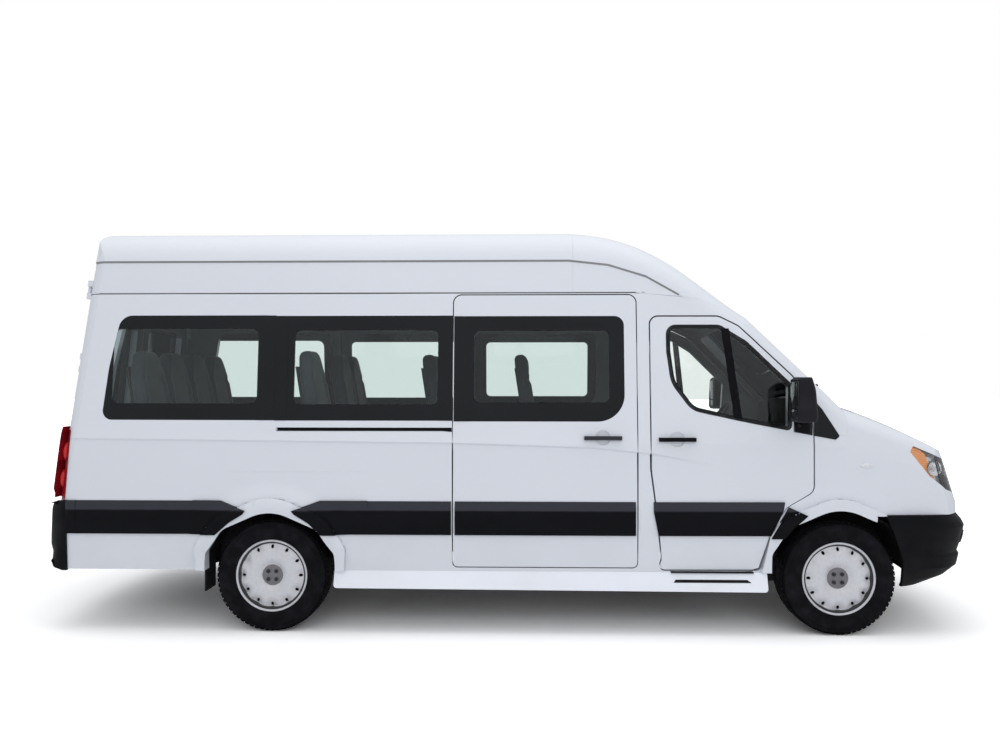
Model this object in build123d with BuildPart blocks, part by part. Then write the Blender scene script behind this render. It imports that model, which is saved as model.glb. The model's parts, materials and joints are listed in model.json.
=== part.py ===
"""A high-roof minibus, built as separate pieces: body panels, doors, glass, trim, chassis, seats and wheels.

Millimetres. +X is forward, +Y is the vehicle's left and +Z is up. The origin lies on the ground under the
middle of the vehicle's overall length and width.
"""

import os
from math import acos, atan2, cos, degrees, hypot, pi, radians, sin, tan

from build123d import *

os.makedirs("parts", exist_ok=True)

# ---------------------------------------------------------------- driving dimensions
NOSE_X = 3020.0                 # front of the front bumper
TAIL_X = -3020.0                # back of the rear bumper
HALF_WIDTH = 1000.0             # body side at its widest
REAR_AXLE_X = -1490.0
FRONT_AXLE_X = 2080.0
TYRE_R = 356.0
TYRE_W = 235.0
RIM_R = 212.0
WHEEL_Y = 862.0                 # wheel centre from the centre line
HUB_R = 34.0                    # stub that carries a wheel
HUB_RUN = 0.06                  # running clearance of a wheel on its stub
KINGPIN_Y = 745.0
WALL = 55.0                     # wall, door and roof thickness
LID_T = 24.0                    # bonnet thickness
LID_GAP = 11.0                  # shut gap round the bonnet
GAP = 9.0                       # shut gap round doors and bonnet
FIT = 0.4                       # gap between pieces that seat on each other
GLASS = 6.0                     # pane thickness
FRAME_LAP = 24.0                # how far a pane laps over its opening

ROOF_SEAM_Z = 2155.0            # joint between side walls and roof
SILL_Z = 396.0                  # lower edge of the body sides
BELT_Z = 1200.0
FLOOR_TOP = 640.0
FLOOR_T = 40.0
RAIL_Y = 420.0                  # chassis rail centre
RAIL_W = 70.0
RAIL_H = 120.0
WING_X = 1925.0                 # joint between side wall and front wing
SCREEN_FOOT_X = 2135.0
BONNET_X = 2262.0               # rear edge of the bonnet
BONNET_LIP_Z = 1088.0           # lower edge of the bonnet's front lip
LAMP_Y = 655.0                  # inner edge of the headlamps
BUMPER_TOP = 757.0
ARCH_FRONT_R = 452.0
ARCH_REAR_R = 440.0
FLARE = 62.0                    # width of the raised lip round each arch
FLARE_T = 20.0                  # how far it stands out
REAR_DOOR_Y = 800.0             # outer edge of the rear doors
REAR_DOOR_LOW = 585.0
REAR_DOOR_TOP = 2290.0
REAR_LEAN = 0.112               # forward lean of the rear face, mm per mm of height
REAR_FOOT_X = -3009.0           # rear face at ground level, on the centre line

LID_AXIS_X = BONNET_X - LID_GAP / 2
LID_AXIS_Z = 1412.0
LID_PIN_R = 4.0
LID_BARREL_R = 8.0
LID_BARREL_Y = (272.5, 327.5)   # the bonnet's barrel, between the cowl's ears
LID_EARS_Y = ((258.0, 270.0), (330.0, 342.0))
REAR_HINGE_Y = REAR_DOOR_Y + GAP / 2
REAR_HINGE_OUT = 22.0           # hinge axis ahead of the rear face's middle line
REAR_HINGE_R = 11.0
REAR_PIN_R = 6.0
REAR_HINGE_Z = (720.0, 1713.0, 2190.0)
PIN_RUN = 0.06                  # running clearance of a hinge on its pin

# The body's cross-sections. Columns: x, belt half width, belt height, rail half width, rail height,
# shoulder radius, crown height. The rail is where the flat side ends and the roof's shoulder begins.
MAIN_SECTION = (998.0, BELT_Z, 880.0, 2365.0, 225.0, 2610.0)
DOME = [
    (400.0, *MAIN_SECTION),
    (650.0, 998.0, BELT_Z, 882.0, 2337.0, 222.0, 2579.0),
    (888.0, 997.0, BELT_Z, 889.0, 2263.0, 215.0, 2500.0),
    (1154.0, 994.0, BELT_Z, 900.0, 2112.0, 205.0, 2343.0),
    (1373.0, 990.0, BELT_Z, 911.0, 1957.0, 190.0, 2176.0),
    (1540.0, 985.0, BELT_Z, 917.0, 1852.0, 175.0, 2055.0),
]
SCREEN = [
    DOME[-1],
    (SCREEN_FOOT_X, 974.0, 1180.0, 962.0, 1300.0, 130.0, 1472.0),
]
NOSE = [
    SCREEN[-1],
    (2300.0, 968.0, 1130.0, 957.0, 1244.0, 122.0, 1415.0),
    (2500.0, 958.0, 1070.0, 947.0, 1172.0, 114.0, 1340.0),
    (2700.0, 946.0, 990.0, 935.0, 1088.0, 106.0, 1250.0),
    (2860.0, 932.0, 905.0, 921.0, 1002.0, 100.0, 1160.0),
    (3060.0, 912.0, 775.0, 900.0, 872.0, 95.0, 1022.0),
]
# The ends, as outlines seen from above. Columns: height, half width, x of the end on the centre line.
REAR_OUTLINES = [(z, w, REAR_FOOT_X + REAR_LEAN * z)
                 for z, w in ((200.0, 1003.0), (BELT_Z, 1003.0), (2365.0, 885.0), (2750.0, 846.0))]
NOSE_OUTLINES = [(200.0, 1003.0, 2985.0), (824.0, 1003.0, 2965.0), (1111.0, 1003.0, 2876.0), (2750.0, 1003.0, 2250.0)]
FRONT_BUMPER_OUTLINES = [
    (300.0, 940.0, 2770.0), (362.0, 962.0, 2912.0), (425.0, 980.0, 2982.0), (490.0, 986.0, 2994.0),
    (511.0, 986.0, 2981.0), (594.0, 996.0, 3006.0), (677.0, 1002.0, NOSE_X), (712.0, 1000.0, 3003.0),
    (757.0, 994.0, 2966.0),
]
REAR_BUMPER_OUTLINES = [
    (389.0, 930.0, -2893.0), (408.0, 950.0, -2960.0), (458.0, 985.0, -3005.0), (549.0, 1004.0, TAIL_X),
    (778.0, 1004.0, -3014.0), (809.0, 1000.0, -3000.0),
]

# Side outlines of the openings and panels, as seen on the vehicle's side. Columns: x, z, corner radius.
SLIDING_DOOR = [(-334.0, 424.0, 30), (-334.0, 2140.0, 50), (822.0, 2140.0, 50), (822.0, 424.0, 30)]
FRONT_DOOR = [
    (950.0, 412.0, 30), (978.0, 474.0, 60), (948.0, 765.0, 200), (912.0, 1040.0, 200), (912.0, 2001.0, 50),
    (1345.0, 2001.0, 70), (1468.0, 1941.0, 60), (1798.0, 1625.0, 120), (1908.0, 1480.0, 80), (1921.0, 1240.0, 60),
    (1921.0, 905.0, 60), (1752.0, 806.0, 120), (1650.0, 655.0, 120), (1590.0, 412.0, 30),
]
DOOR_WINDOW = [
    (1011.0, 1780.0, 60), (1011.0, 1950.0, 60), (1350.0, 1950.0, 60), (1518.0, 1847.0, 90), (1800.0, 1572.0, 60),
    (1789.0, 1279.0, 30), (1458.0, 1343.0, 200), (1165.0, 1408.0, 130), (1037.0, 1580.0, 200),
]
QUARTER_TRIM = [(1812.0, 1278.0, 12), (1895.0, 1262.0, 12), (1895.0, 1492.0, 12), (1806.0, 1595.0, 12)]
WINDOW_C = [(-322.0, 1338.0, 60), (-322.0, 2006.0, 60), (746.0, 2006.0, 60), (746.0, 1338.0, 170)]
WINDOW_B = [(-1466.0, 1342.0, 60), (-1466.0, 2010.0, 60), (-348.0, 2010.0, 60), (-348.0, 1342.0, 60)]
WINDOW_A = [(-2580.0, 1346.0, 60), (-2545.0, 1682.0, 300), (-2480.0, 2014.0, 90), (-1478.0, 2014.0, 60), (-1478.0, 1344.0, 60)]
REAR_WINDOW = [(75.0, 1350.0, 50), (75.0, 2010.0, 60), (705.0, 2010.0, 90), (735.0, 1350.0, 60)]
HEADLAMP = [
    (2531.0, 1150.0, 12), (2551.0, 1186.0, 12), (2713.0, 1118.0, 60), (2762.0, 1102.0, 20), (2990.0, 1010.0, 0),
    (2990.0, 880.0, 0), (2855.0, 880.0, 20), (2762.0, 912.0, 60), (2649.0, 999.0, 80),
]
TAIL_LAMP = [(-3100.0, 833.0, 0), (-3100.0, 1310.0, 0), (-2838.0, 1310.0, 15), (-2790.0, 1275.0, 20), (-2815.0, 833.0, 10)]
# The road wheels and what turns with them. Columns: name, axle x, side of the vehicle.
WHEELS = [("front_right", FRONT_AXLE_X, -1), ("front_left", FRONT_AXLE_X, 1),
          ("rear_right", REAR_AXLE_X, -1), ("rear_left", REAR_AXLE_X, 1)]
SIDES = [("right", -1), ("left", 1)]


# ---------------------------------------------------------------- drawing helpers
def draw_outline(corners):
    """Closed outline with rounded corners, in the open BuildLine. Columns: u, v, corner radius."""
    ends = []
    count = len(corners)
    for index in range(count):
        u, v, radius = corners[index]
        before = corners[index - 1]
        after = corners[(index + 1) % count]
        if radius == 0:
            ends.append(((u, v), None, (u, v)))
            continue
        a = Vector(before[0] - u, before[1] - v, 0).normalized()
        b = Vector(after[0] - u, after[1] - v, 0).normalized()
        half = acos(max(-1.0, min(1.0, a.dot(b)))) / 2
        run = radius / tan(half)
        bisector = (a + b).normalized()
        reach = radius / sin(half) - radius
        first = (u + a.X * run, v + a.Y * run)
        last = (u + b.X * run, v + b.Y * run)
        ends.append((first, (u + bisector.X * reach, v + bisector.Y * reach), last))
    for index in range(count):
        first, middle, last = ends[index]
        if middle is not None:
            ThreePointArc(first, middle, last)
        following = ends[(index + 1) % count][0]
        if hypot(following[0] - last[0], following[1] - last[1]) > 0.01:
            Line(last, following)


def base_plane(view, low, high):
    """The plane on which a straight block starts, seen from the side, from above or from the front."""
    if view == "side":
        return Plane.XZ.offset(-high)
    if view == "plan":
        return Plane.XY.offset(low)
    return Plane.YZ.offset(low)


def block(view, corners, low, high, grow=0.0):
    """A straight block with the given outline, from low to high along the direction of view."""
    with BuildPart() as piece:
        with BuildSketch(base_plane(view, low, high)):
            with BuildLine():
                draw_outline(corners)
            make_face()
            if grow:
                offset(amount=grow, kind=Kind.ARC if grow > 0 else Kind.INTERSECTION, mode=Mode.REPLACE)
        extrude(amount=high - low)
    return piece.part


def slab(x0, x1, y0, y1, z0, z1):
    """A box from its limits."""
    with BuildPart() as piece:
        with Locations(((x0 + x1) / 2, (y0 + y1) / 2, (z0 + z1) / 2)):
            Box(x1 - x0, y1 - y0, z1 - z0)
    return piece.part


def rod(start, end, radius, inner=0.0):
    """A round bar or tube between two points."""
    axis = Vector(*end) - Vector(*start)
    with BuildPart() as piece:
        with BuildSketch(Plane(origin=start, z_dir=axis.normalized())):
            Circle(radius)
            if inner:
                Circle(inner, mode=Mode.SUBTRACT)
        extrude(amount=axis.length)
    return piece.part


def side_range(side, near, far):
    """Low and high y between two distances from the centre line, on one side."""
    return (near, far) if side > 0 else (-far, -near)


# ---------------------------------------------------------------- body surface
def section_points(belt_y, belt_z, rail_y, rail_z, shoulder_r, crown_z):
    """Middle and end of the shoulder arc, tangent to the flat side and to the crowned roof."""
    slope = hypot(rail_y - belt_y, rail_z - belt_z)
    inward = ((belt_z - rail_z) / slope, (rail_y - belt_y) / slope)
    centre_y = rail_y + shoulder_r * inward[0]
    centre_z = rail_z + shoulder_r * inward[1]
    drop = centre_z - crown_z
    roof_r = (shoulder_r**2 - centre_y**2 - drop**2) / (2 * (drop + shoulder_r))
    roof_z = crown_z - roof_r
    reach = hypot(centre_y, centre_z - roof_z)
    end_angle = atan2((centre_z - roof_z) / reach, centre_y / reach)
    start_angle = atan2(-inward[1], -inward[0])
    middle = (start_angle + end_angle) / 2
    arc_middle = (centre_y + shoulder_r * cos(middle), centre_z + shoulder_r * sin(middle))
    arc_end = (centre_y + shoulder_r * cos(end_angle), centre_z + shoulder_r * sin(end_angle))
    return arc_middle, arc_end


def section_face(station, inset, slope):
    """One closed cross-section of the body, set in by inset."""
    x, belt_y, belt_z, rail_y, rail_z, shoulder_r, crown_z = station
    depth = inset * hypot(1.0, slope)
    floor_z = 250.0 if inset < 20.0 else 100.0
    belt_y, rail_y = belt_y - inset, rail_y - inset
    shoulder_r, crown_z = shoulder_r - inset, crown_z - depth
    rail_z = rail_z - (depth - inset)
    foot_y = belt_y - 22.0
    middle, end = section_points(belt_y, belt_z, rail_y, rail_z, shoulder_r, crown_z)
    with BuildSketch(Plane.YZ.offset(x)) as sketch:
        with BuildLine():
            Polyline((foot_y, floor_z), (belt_y + 2.0, 700.0), (belt_y, belt_z), (rail_y, rail_z))
            ThreePointArc((rail_y, rail_z), middle, end)
            ThreePointArc(end, (0, crown_z), (-end[0], end[1]))
            ThreePointArc((-end[0], end[1]), (-middle[0], middle[1]), (-rail_y, rail_z))
            Polyline((-rail_y, rail_z), (-belt_y, belt_z), (-belt_y - 2.0, 700.0), (-foot_y, floor_z))
            Line((-foot_y, floor_z), (foot_y, floor_z))
        make_face()
    return sketch.sketch


def roof_slope(x):
    """How steeply the crown falls at a station, from its neighbours; level where the dome starts."""
    stations = DOME + SCREEN[1:] + NOSE[1:]
    index = [station[0] for station in stations].index(x)
    if index == 0:
        return 0.0
    low = stations[index - 1]
    high = stations[min(index + 1, len(stations) - 1)]
    return (low[6] - high[6]) / (high[0] - low[0])


def lofted(stations, inset, ruled):
    """A stretch of the body through the given cross-sections."""
    return loft([section_face(station, inset, roof_slope(station[0])) for station in stations], ruled=ruled)


def end_block(outlines, corner_r, crown, sign, inset):
    """A tall block with one crowned end with round corners, at the far side of x = 0 that sign says."""
    corner = corner_r - inset
    knee = corner * (1 - cos(pi / 4))
    faces = []
    for z, half, end_x in outlines:
        tip = end_x - sign * inset
        wide = half - inset
        flat = wide - corner
        edge = tip - sign * crown
        root = edge - sign * corner
        with BuildSketch(Plane.XY.offset(z)) as sketch:
            with BuildLine():
                ThreePointArc((edge, -flat), (tip, 0), (edge, flat))
                ThreePointArc((edge, flat), (edge - sign * knee, wide - knee), (root, wide))
                Polyline((root, wide), (-sign * 3300.0, wide), (-sign * 3300.0, -wide), (root, -wide))
                ThreePointArc((root, -wide), (edge - sign * knee, -wide + knee), (edge, -flat))
            make_face()
        faces.append(sketch.sketch)
    return loft(faces, ruled=True)


def body_volume(inset):
    """The whole body's form above the sills, set in by inset."""
    roof_z = MAIN_SECTION[5] - inset
    foot = REAR_FOOT_X + inset
    rear = end_block(REAR_OUTLINES, 140.0, 32.0, -1, inset)
    front = end_block(NOSE_OUTLINES, 330.0, 60.0, 1, inset)
    profile = [(foot, 0.0, 0), (foot + REAR_LEAN * roof_z, roof_z, 130.0 - inset / 2), (2000.0, roof_z, 0), (2000.0, 1800.0, 0),
               (2700.0 - inset / 2, 1253.0 - inset, 0), (2862.0 - inset, 1162.0 - inset, 60.0), (3060.0 - inset, 700.0, 0), (3060.0 - inset, 0.0, 0)]
    edges = block("side", profile, -1100.0, 1100.0)
    dome = lofted(DOME, inset, False)
    screen = lofted(SCREEN, inset, True)
    nose = lofted(NOSE, inset, False)
    with BuildPart() as volume:
        extrude(section_face((-3300.0, *MAIN_SECTION), inset, 0.0), amount=3700.0, dir=(1, 0, 0))
        add(dome)
        add(screen)
        add(nose)
        add(rear, mode=Mode.INTERSECT)
        add(front, mode=Mode.INTERSECT)
        add(edges, mode=Mode.INTERSECT)
    return volume.part


outer = body_volume(0.0)
glass_back = body_volume(GLASS)
rebate_back = body_volume(GLASS + FIT)
lid_back = body_volume(LID_T)
inner = body_volume(WALL)
with BuildPart() as shell:
    add(outer)
    add(inner, mode=Mode.SUBTRACT)
with BuildPart() as pane_skin:
    add(outer)
    add(glass_back, mode=Mode.SUBTRACT)
with BuildPart() as rebate_skin:
    add(outer)
    add(rebate_back, mode=Mode.SUBTRACT)


def half_space(side):
    """Everything on one side of the centre line."""
    low, high = side_range(side, 0.0, 1200.0)
    return slab(-3300.0, 3300.0, low, high, 0.0, 3000.0)


def rear_band(near, far, low, high, inward):
    """The rear face's band between two distances from the centre line, leaning with it, on both sides."""
    foot = REAR_FOOT_X
    corners = [(foot - 100.0 + REAR_LEAN * low, low, 0), (foot + inward + REAR_LEAN * low, low, 0),
               (foot + inward + REAR_LEAN * high, high, 0), (foot - 100.0 + REAR_LEAN * high, high, 0)]
    return block("side", corners, near, far)


def lid_rod(low, high, radius):
    """A round bar on the bonnet's hinge axis, between two values of y."""
    return rod((LID_AXIS_X, low, LID_AXIS_Z), (LID_AXIS_X, high, LID_AXIS_Z), radius)


def rear_hinge_point(side, z):
    """A point on a rear door's hinge axis, at the given height."""
    return (REAR_FOOT_X + REAR_LEAN * z + REAR_HINGE_OUT, side * REAR_HINGE_Y, z)


def rear_hinge_rod(side, low, high, radius):
    """A round bar on a rear door's hinge axis, between two heights."""
    return rod(rear_hinge_point(side, low), rear_hinge_point(side, high), radius)


def rear_plate(low_y, high_y, low, high, out, inward):
    """A plate that leans with the rear face, from out mm ahead of its middle line to inward mm ahead of it."""
    foot = REAR_FOOT_X
    corners = [(foot + out + REAR_LEAN * low, low, 0), (foot + inward + REAR_LEAN * low, low, 0),
               (foot + inward + REAR_LEAN * high, high, 0), (foot + out + REAR_LEAN * high, high, 0)]
    return block("side", corners, low_y, high_y)


def save(piece, label):
    """Labels a finished sub-part and writes it."""
    piece.part.label = label
    export_step(piece.part, f"parts/{label}.step")
    solids = piece.part.solids()
    print(label, len(solids), round(sum(s.volume for s in solids) / 1e6, 2))


# ---------------------------------------------------------------- outlines shared by several panels
roof_line = [(-3200.0, ROOF_SEAM_Z, 0), (820.0, ROOF_SEAM_Z, 0), (1200.0, 2122.0, 0), (1400.0, 2042.0, 0), (1546.0, 1930.0, 0)]
roof_region = block("side", roof_line + [(1546.0, 3000.0, 0), (-3200.0, 3000.0, 0)], -1200.0, 1200.0)
below_roof = block(
    "side",
    [(x, z - FIT, r) for x, z, r in roof_line]
    + [(1546.0, 2600.0, 0), (SCREEN_FOOT_X, 2600.0, 0), (SCREEN_FOOT_X, 1252.0, 0), (WING_X, 1252.0, 0),
       (WING_X, SILL_Z, 0), (-3200.0, SILL_Z, 0)],
    -1200.0, 1200.0,
)
screen_corners = [(1556.0, -742.0, 60), (1556.0, 742.0, 60), (2120.0, 868.0, 40), (2120.0, -868.0, 40)]
screen_hole = [(1583.0, -722.0, 50), (1583.0, 722.0, 50), (2094.0, 838.0, 40), (2094.0, -838.0, 40)]
screen_cut = block("plan", screen_corners, 1200.0, 2300.0)
screen_rebate = block("plan", screen_corners, 1200.0, 2300.0, grow=FIT)
screen_through = block("plan", screen_hole, 1200.0, 2300.0)
rear_opening = rear_band(-REAR_DOOR_Y - GAP, REAR_DOOR_Y + GAP, REAR_DOOR_LOW - GAP, REAR_DOOR_TOP + GAP, 150.0)
bonnet_outline = [(BONNET_X, -772.0, 20), (2500.0, -770.0, 60), (2880.0, -646.0, 30), (2880.0, 646.0, 30),
                  (2500.0, 770.0, 60), (BONNET_X, 772.0, 20)]
bonnet_cut = block("plan", bonnet_outline, BONNET_LIP_Z, 1700.0)
bonnet_hole = block("plan", bonnet_outline, BONNET_LIP_Z - LID_GAP, 1700.0, grow=LID_GAP)


def arch(centre_x, radius, low, high):
    """A wheel arch's opening: round above the axle, straight below it."""
    centre_z = TYRE_R
    foot = radius * 0.94
    corners = [(centre_x - foot, 0.0, 0), (centre_x - foot, centre_z + radius * 0.35, 60),
               (centre_x - radius * 0.71, centre_z + radius * 0.71, 150), (centre_x, centre_z + radius * 1.02, 300),
               (centre_x + radius * 0.71, centre_z + radius * 0.71, 150), (centre_x + foot, centre_z + radius * 0.35, 60),
               (centre_x + foot, 0.0, 0)]
    return block("side", corners, low, high)


front_arch = arch(FRONT_AXLE_X, ARCH_FRONT_R, -1200.0, 1200.0)
rear_arch = arch(REAR_AXLE_X, ARCH_REAR_R, -1200.0, 1200.0)
pane_outlines = {-1: [WINDOW_A, WINDOW_B], 1: [WINDOW_A, WINDOW_B, WINDOW_C]}


def pane_tools(outline, low, high):
    """The pane's own outline, its rebate and the hole behind it."""
    return (block("side", outline, low, high), block("side", outline, low, high, grow=FIT),
            block("side", outline, low, high, grow=-FRAME_LAP))



# ---------------------------------------------------------------- body sheet with the flares round the arches
with BuildPart() as sheet:
    add(shell.part)
    for centre_x, radius in ((FRONT_AXLE_X, ARCH_FRONT_R), (REAR_AXLE_X, ARCH_REAR_R)):
        for name, side in SIDES:
            low, high = side_range(side, HALF_WIDTH - 30.0, HALF_WIDTH + FLARE_T - (14.0 if centre_x > 0 else 0.0))
            add(arch(centre_x, radius + FLARE, low, high))
    add(front_arch, mode=Mode.SUBTRACT)
    add(rear_arch, mode=Mode.SUBTRACT)

# ---------------------------------------------------------------- roof, walls and front of the body
with BuildPart() as roof_panel:
    add(shell.part)
    add(roof_region, mode=Mode.INTERSECT)
    add(screen_rebate, mode=Mode.SUBTRACT)
    add(rear_opening, mode=Mode.SUBTRACT)
save(roof_panel, "roof_panel")

strip_top = 836.0
strip_section = [(940.0, 626.0, 0), (1012.0, 626.0, 0), (1017.0, 640.0, 6), (1017.0, 775.0, 20), (1004.0, strip_top, 0), (940.0, strip_top, 0)]
strip_plan = [(-2800.0, 900.0, 0), (-2800.0, 1013.0, 0), (650.0, 1016.0, 0), (1540.0, 1002.0, 0), (2135.0, 991.0, 0), (2135.0, 900.0, 0)]


def mirrored(corners, side):
    """An outline drawn for the left, with its first or second column turned over for the right."""
    return corners if side > 0 else [(x, -y, r) for x, y, r in corners[::-1]]


def strip_piece(side, outline):
    """A length of the side strip that lies on the body's skin, with the given outline seen from the side."""
    section = strip_section if side > 0 else [(-y, z, r) for y, z, r in strip_section[::-1]]
    low, high = side_range(side, 900.0, 1100.0)
    with BuildPart() as strip:
        add(block("front", section, -2800.0, 2100.0))
        add(block("plan", mirrored(strip_plan, side), 500.0, 900.0), mode=Mode.INTERSECT)
        add(block("side", outline, low, high), mode=Mode.INTERSECT)
        add(outer, mode=Mode.SUBTRACT)
    return strip.part


# The slot that the sliding door's rear roller runs in.
RAIL_SLOT = [(-1458.0, 1274.0, 0), (-1458.0, 1300.0, 0), (-300.0, 1300.0, 0), (-300.0, 1268.0, 0), (-400.0, 1274.0, 0)]
RAIL_SLOT_Y = 975.0
door_holes = {name: block("side", FRONT_DOOR, *side_range(side, 300.0, 1200.0), grow=GAP) for name, side in SIDES}
for name, side in SIDES:
    low, high = side_range(side, 300.0, 1200.0)
    sliding_hole = block("side", SLIDING_DOOR, low, high, grow=GAP - 2.0)
    half = half_space(side)
    lamp_band = slab(-3300.0, -2600.0, *side_range(side, REAR_DOOR_Y + 25.0, 1200.0), 700.0, 1400.0)
    with BuildPart() as lamp_hole:
        add(block("side", TAIL_LAMP, low, high, grow=FIT))
        add(lamp_band, mode=Mode.INTERSECT)
    seats = []
    for outline in pane_outlines[side]:
        with BuildPart() as seat:
            add(rebate_skin.part)
            add(block("side", outline, low, high, grow=FIT), mode=Mode.INTERSECT)
        seats.append(seat.part)
        seats.append(block("side", outline, low, high, grow=-FRAME_LAP))
    with BuildPart() as wall:
        add(sheet.part)
        add(half, mode=Mode.INTERSECT)
        add(below_roof, mode=Mode.INTERSECT)
        add(screen_rebate, mode=Mode.SUBTRACT)
        add(rear_opening, mode=Mode.SUBTRACT)
        add(door_holes[name], mode=Mode.SUBTRACT)
        if side < 0:
            add(sliding_hole, mode=Mode.SUBTRACT)
            add(block("side", RAIL_SLOT, -1100.0, -RAIL_SLOT_Y), mode=Mode.SUBTRACT)
        add(lamp_hole.part, mode=Mode.SUBTRACT)
        for seat in seats:
            add(seat, mode=Mode.SUBTRACT)
        for z in REAR_HINGE_Z:
            add(rear_hinge_rod(side, z - 66.0, z + 66.0, REAR_HINGE_R + 6.0), mode=Mode.SUBTRACT)
    save(wall, f"side_wall_{name}")

wing_side = [(WING_X + FIT, SILL_Z, 0), (2300.0, SILL_Z, 0), (2300.0, BUMPER_TOP + FIT, 0), (3100.0, BUMPER_TOP + FIT, 0),
             (3100.0, 2000.0, 0), (SCREEN_FOOT_X + FIT, 2000.0, 0), (SCREEN_FOOT_X + FIT, 1252.0 - FIT, 0), (WING_X + FIT, 1252.0 - FIT, 0)]
cowl_plan = [(SCREEN_FOOT_X + FIT, -790.0, 0), (BONNET_X - LID_GAP, -790.0, 0), (BONNET_X - LID_GAP, 790.0, 0), (SCREEN_FOOT_X + FIT, 790.0, 0)]
grille_front = [(-585.0, 790.0, 30), (585.0, 790.0, 30), (616.0, 1042.0, 30), (-616.0, 1042.0, 30)]
cowl_cut = block("plan", cowl_plan, 1200.0, 1700.0)
cowl_hole = block("plan", cowl_plan, 1200.0, 1700.0, grow=FIT)
grille_cut = block("front", grille_front, 2700.0, 3100.0)
grille_hole = block("front", grille_front, 2650.0, 3100.0, grow=FIT)
lamp_box = [slab(2400.0, 3100.0, *side_range(side, LAMP_Y, 1100.0), 800.0, 1300.0) for name, side in SIDES]
lamp_hole_box = [slab(2400.0, 3100.0, *side_range(side, LAMP_Y - FIT, 1100.0), 800.0, 1300.0) for name, side in SIDES]
lamp_outline = block("side", HEADLAMP, -1100.0, 1100.0)
lamp_outline_hole = block("side", HEADLAMP, -1100.0, 1100.0, grow=FIT)
with BuildPart() as lamp_cut:
    add(lamp_outline)
    add(slab(2400.0, 3100.0, -LAMP_Y, LAMP_Y, 700.0, 1500.0), mode=Mode.SUBTRACT)
with BuildPart() as lamp_clear:
    add(lamp_outline_hole)
    add(slab(2400.0, 3100.0, FIT - LAMP_Y, LAMP_Y - FIT, 700.0, 1500.0), mode=Mode.SUBTRACT)

with BuildPart() as front_panel:
    add(sheet.part)
    add(block("side", wing_side, -1100.0, 1100.0), mode=Mode.INTERSECT)
    add(bonnet_hole, mode=Mode.SUBTRACT)
    add(cowl_hole, mode=Mode.SUBTRACT)
    add(grille_hole, mode=Mode.SUBTRACT)
    add(lamp_clear.part, mode=Mode.SUBTRACT)
    for name, side in SIDES:
        add(door_holes[name], mode=Mode.SUBTRACT)
save(front_panel, "front_panel")

with BuildPart() as cowl_panel:
    add(lid_back)
    add(inner, mode=Mode.SUBTRACT)
    add(cowl_cut, mode=Mode.INTERSECT)
    for name, side in SIDES:
        barrel_low, barrel_high = side_range(side, LID_BARREL_Y[0] - 3.0, LID_BARREL_Y[1] + 3.0)
        add(lid_rod(barrel_low, barrel_high, LID_BARREL_R + 6.0), mode=Mode.SUBTRACT)
        for near, far in LID_EARS_Y:
            low, high = side_range(side, near, far)
            add(lid_rod(low, high, 6.5))
            add(slab(LID_AXIS_X - 20.0, LID_AXIS_X, low, high, LID_AXIS_Z - 20.0, LID_AXIS_Z))
        low, high = side_range(side, LID_EARS_Y[0][0], LID_EARS_Y[1][1])
        add(lid_rod(low, high, LID_PIN_R))
save(cowl_panel, "cowl_panel")

GRILLE_SLOTS = [(808.0, 550.0), (848.0, 556.0), (888.0, 562.0), (928.0, 568.0), (968.0, 574.0)]
GRILLE_SLOT_H = 28.0
with BuildPart() as grille:
    add(shell.part)
    add(grille_cut, mode=Mode.INTERSECT)
    for low, reach in GRILLE_SLOTS:
        with Locations((2850.0, 0, low + GRILLE_SLOT_H / 2)):
            Box(500.0, 2 * reach, GRILLE_SLOT_H, mode=Mode.SUBTRACT)
save(grille, "grille")

with BuildPart() as headlamp_lenses:
    add(pane_skin.part)
    add(lamp_cut.part, mode=Mode.INTERSECT)
    add(bonnet_hole, mode=Mode.SUBTRACT)
save(headlamp_lenses, "headlamp_lenses")

with BuildPart() as headlamp_housings:
    add(rebate_back)
    add(inner, mode=Mode.SUBTRACT)
    add(lamp_cut.part, mode=Mode.INTERSECT)
    add(bonnet_hole, mode=Mode.SUBTRACT)
save(headlamp_housings, "headlamp_housings")

with BuildPart() as tail_lamps:
    for name, side in SIDES:
        low, high = side_range(side, REAR_DOOR_Y + 25.0, 1200.0)
        add(block("side", TAIL_LAMP, low, high))
    add(shell.part, mode=Mode.INTERSECT)
save(tail_lamps, "tail_lamps")

with BuildPart() as bonnet:
    add(outer)
    add(lid_back, mode=Mode.SUBTRACT)
    add(bonnet_cut, mode=Mode.INTERSECT)
    for name, side in SIDES:
        low, high = side_range(side, LID_EARS_Y[0][0] - 5.0, LID_EARS_Y[1][1] + 5.0)
        add(lid_rod(low, high, 12.0), mode=Mode.SUBTRACT)
        low, high = side_range(side, *LID_BARREL_Y)
        add(lid_rod(low, high, LID_BARREL_R))
        add(slab(LID_AXIS_X, LID_AXIS_X + 22.0, low, high, LID_AXIS_Z - LID_BARREL_R, LID_AXIS_Z + 5.0))
        add(lid_rod(low - 1.0, high + 1.0, LID_PIN_R + PIN_RUN), mode=Mode.SUBTRACT)
save(bonnet, "bonnet")

# ---------------------------------------------------------------- fixed glass
with BuildPart() as windscreen:
    add(pane_skin.part)
    add(screen_cut, mode=Mode.INTERSECT)
save(windscreen, "windscreen")

with BuildPart() as side_windows:
    for name, side in SIDES:
        for outline in pane_outlines[side]:
            add(block("side", outline, *side_range(side, 300.0, 1200.0)))
    add(pane_skin.part, mode=Mode.INTERSECT)
save(side_windows, "side_windows")

# ---------------------------------------------------------------- doors
# Middles of the door handles, x and z, and the hollow behind each.
FRONT_HANDLE = (1071.0, 1227.0)
SLIDING_HANDLE = (607.5, 1236.0)
CUP_R = 48.0
CUP_FLOOR_Y = 984.0


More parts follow.
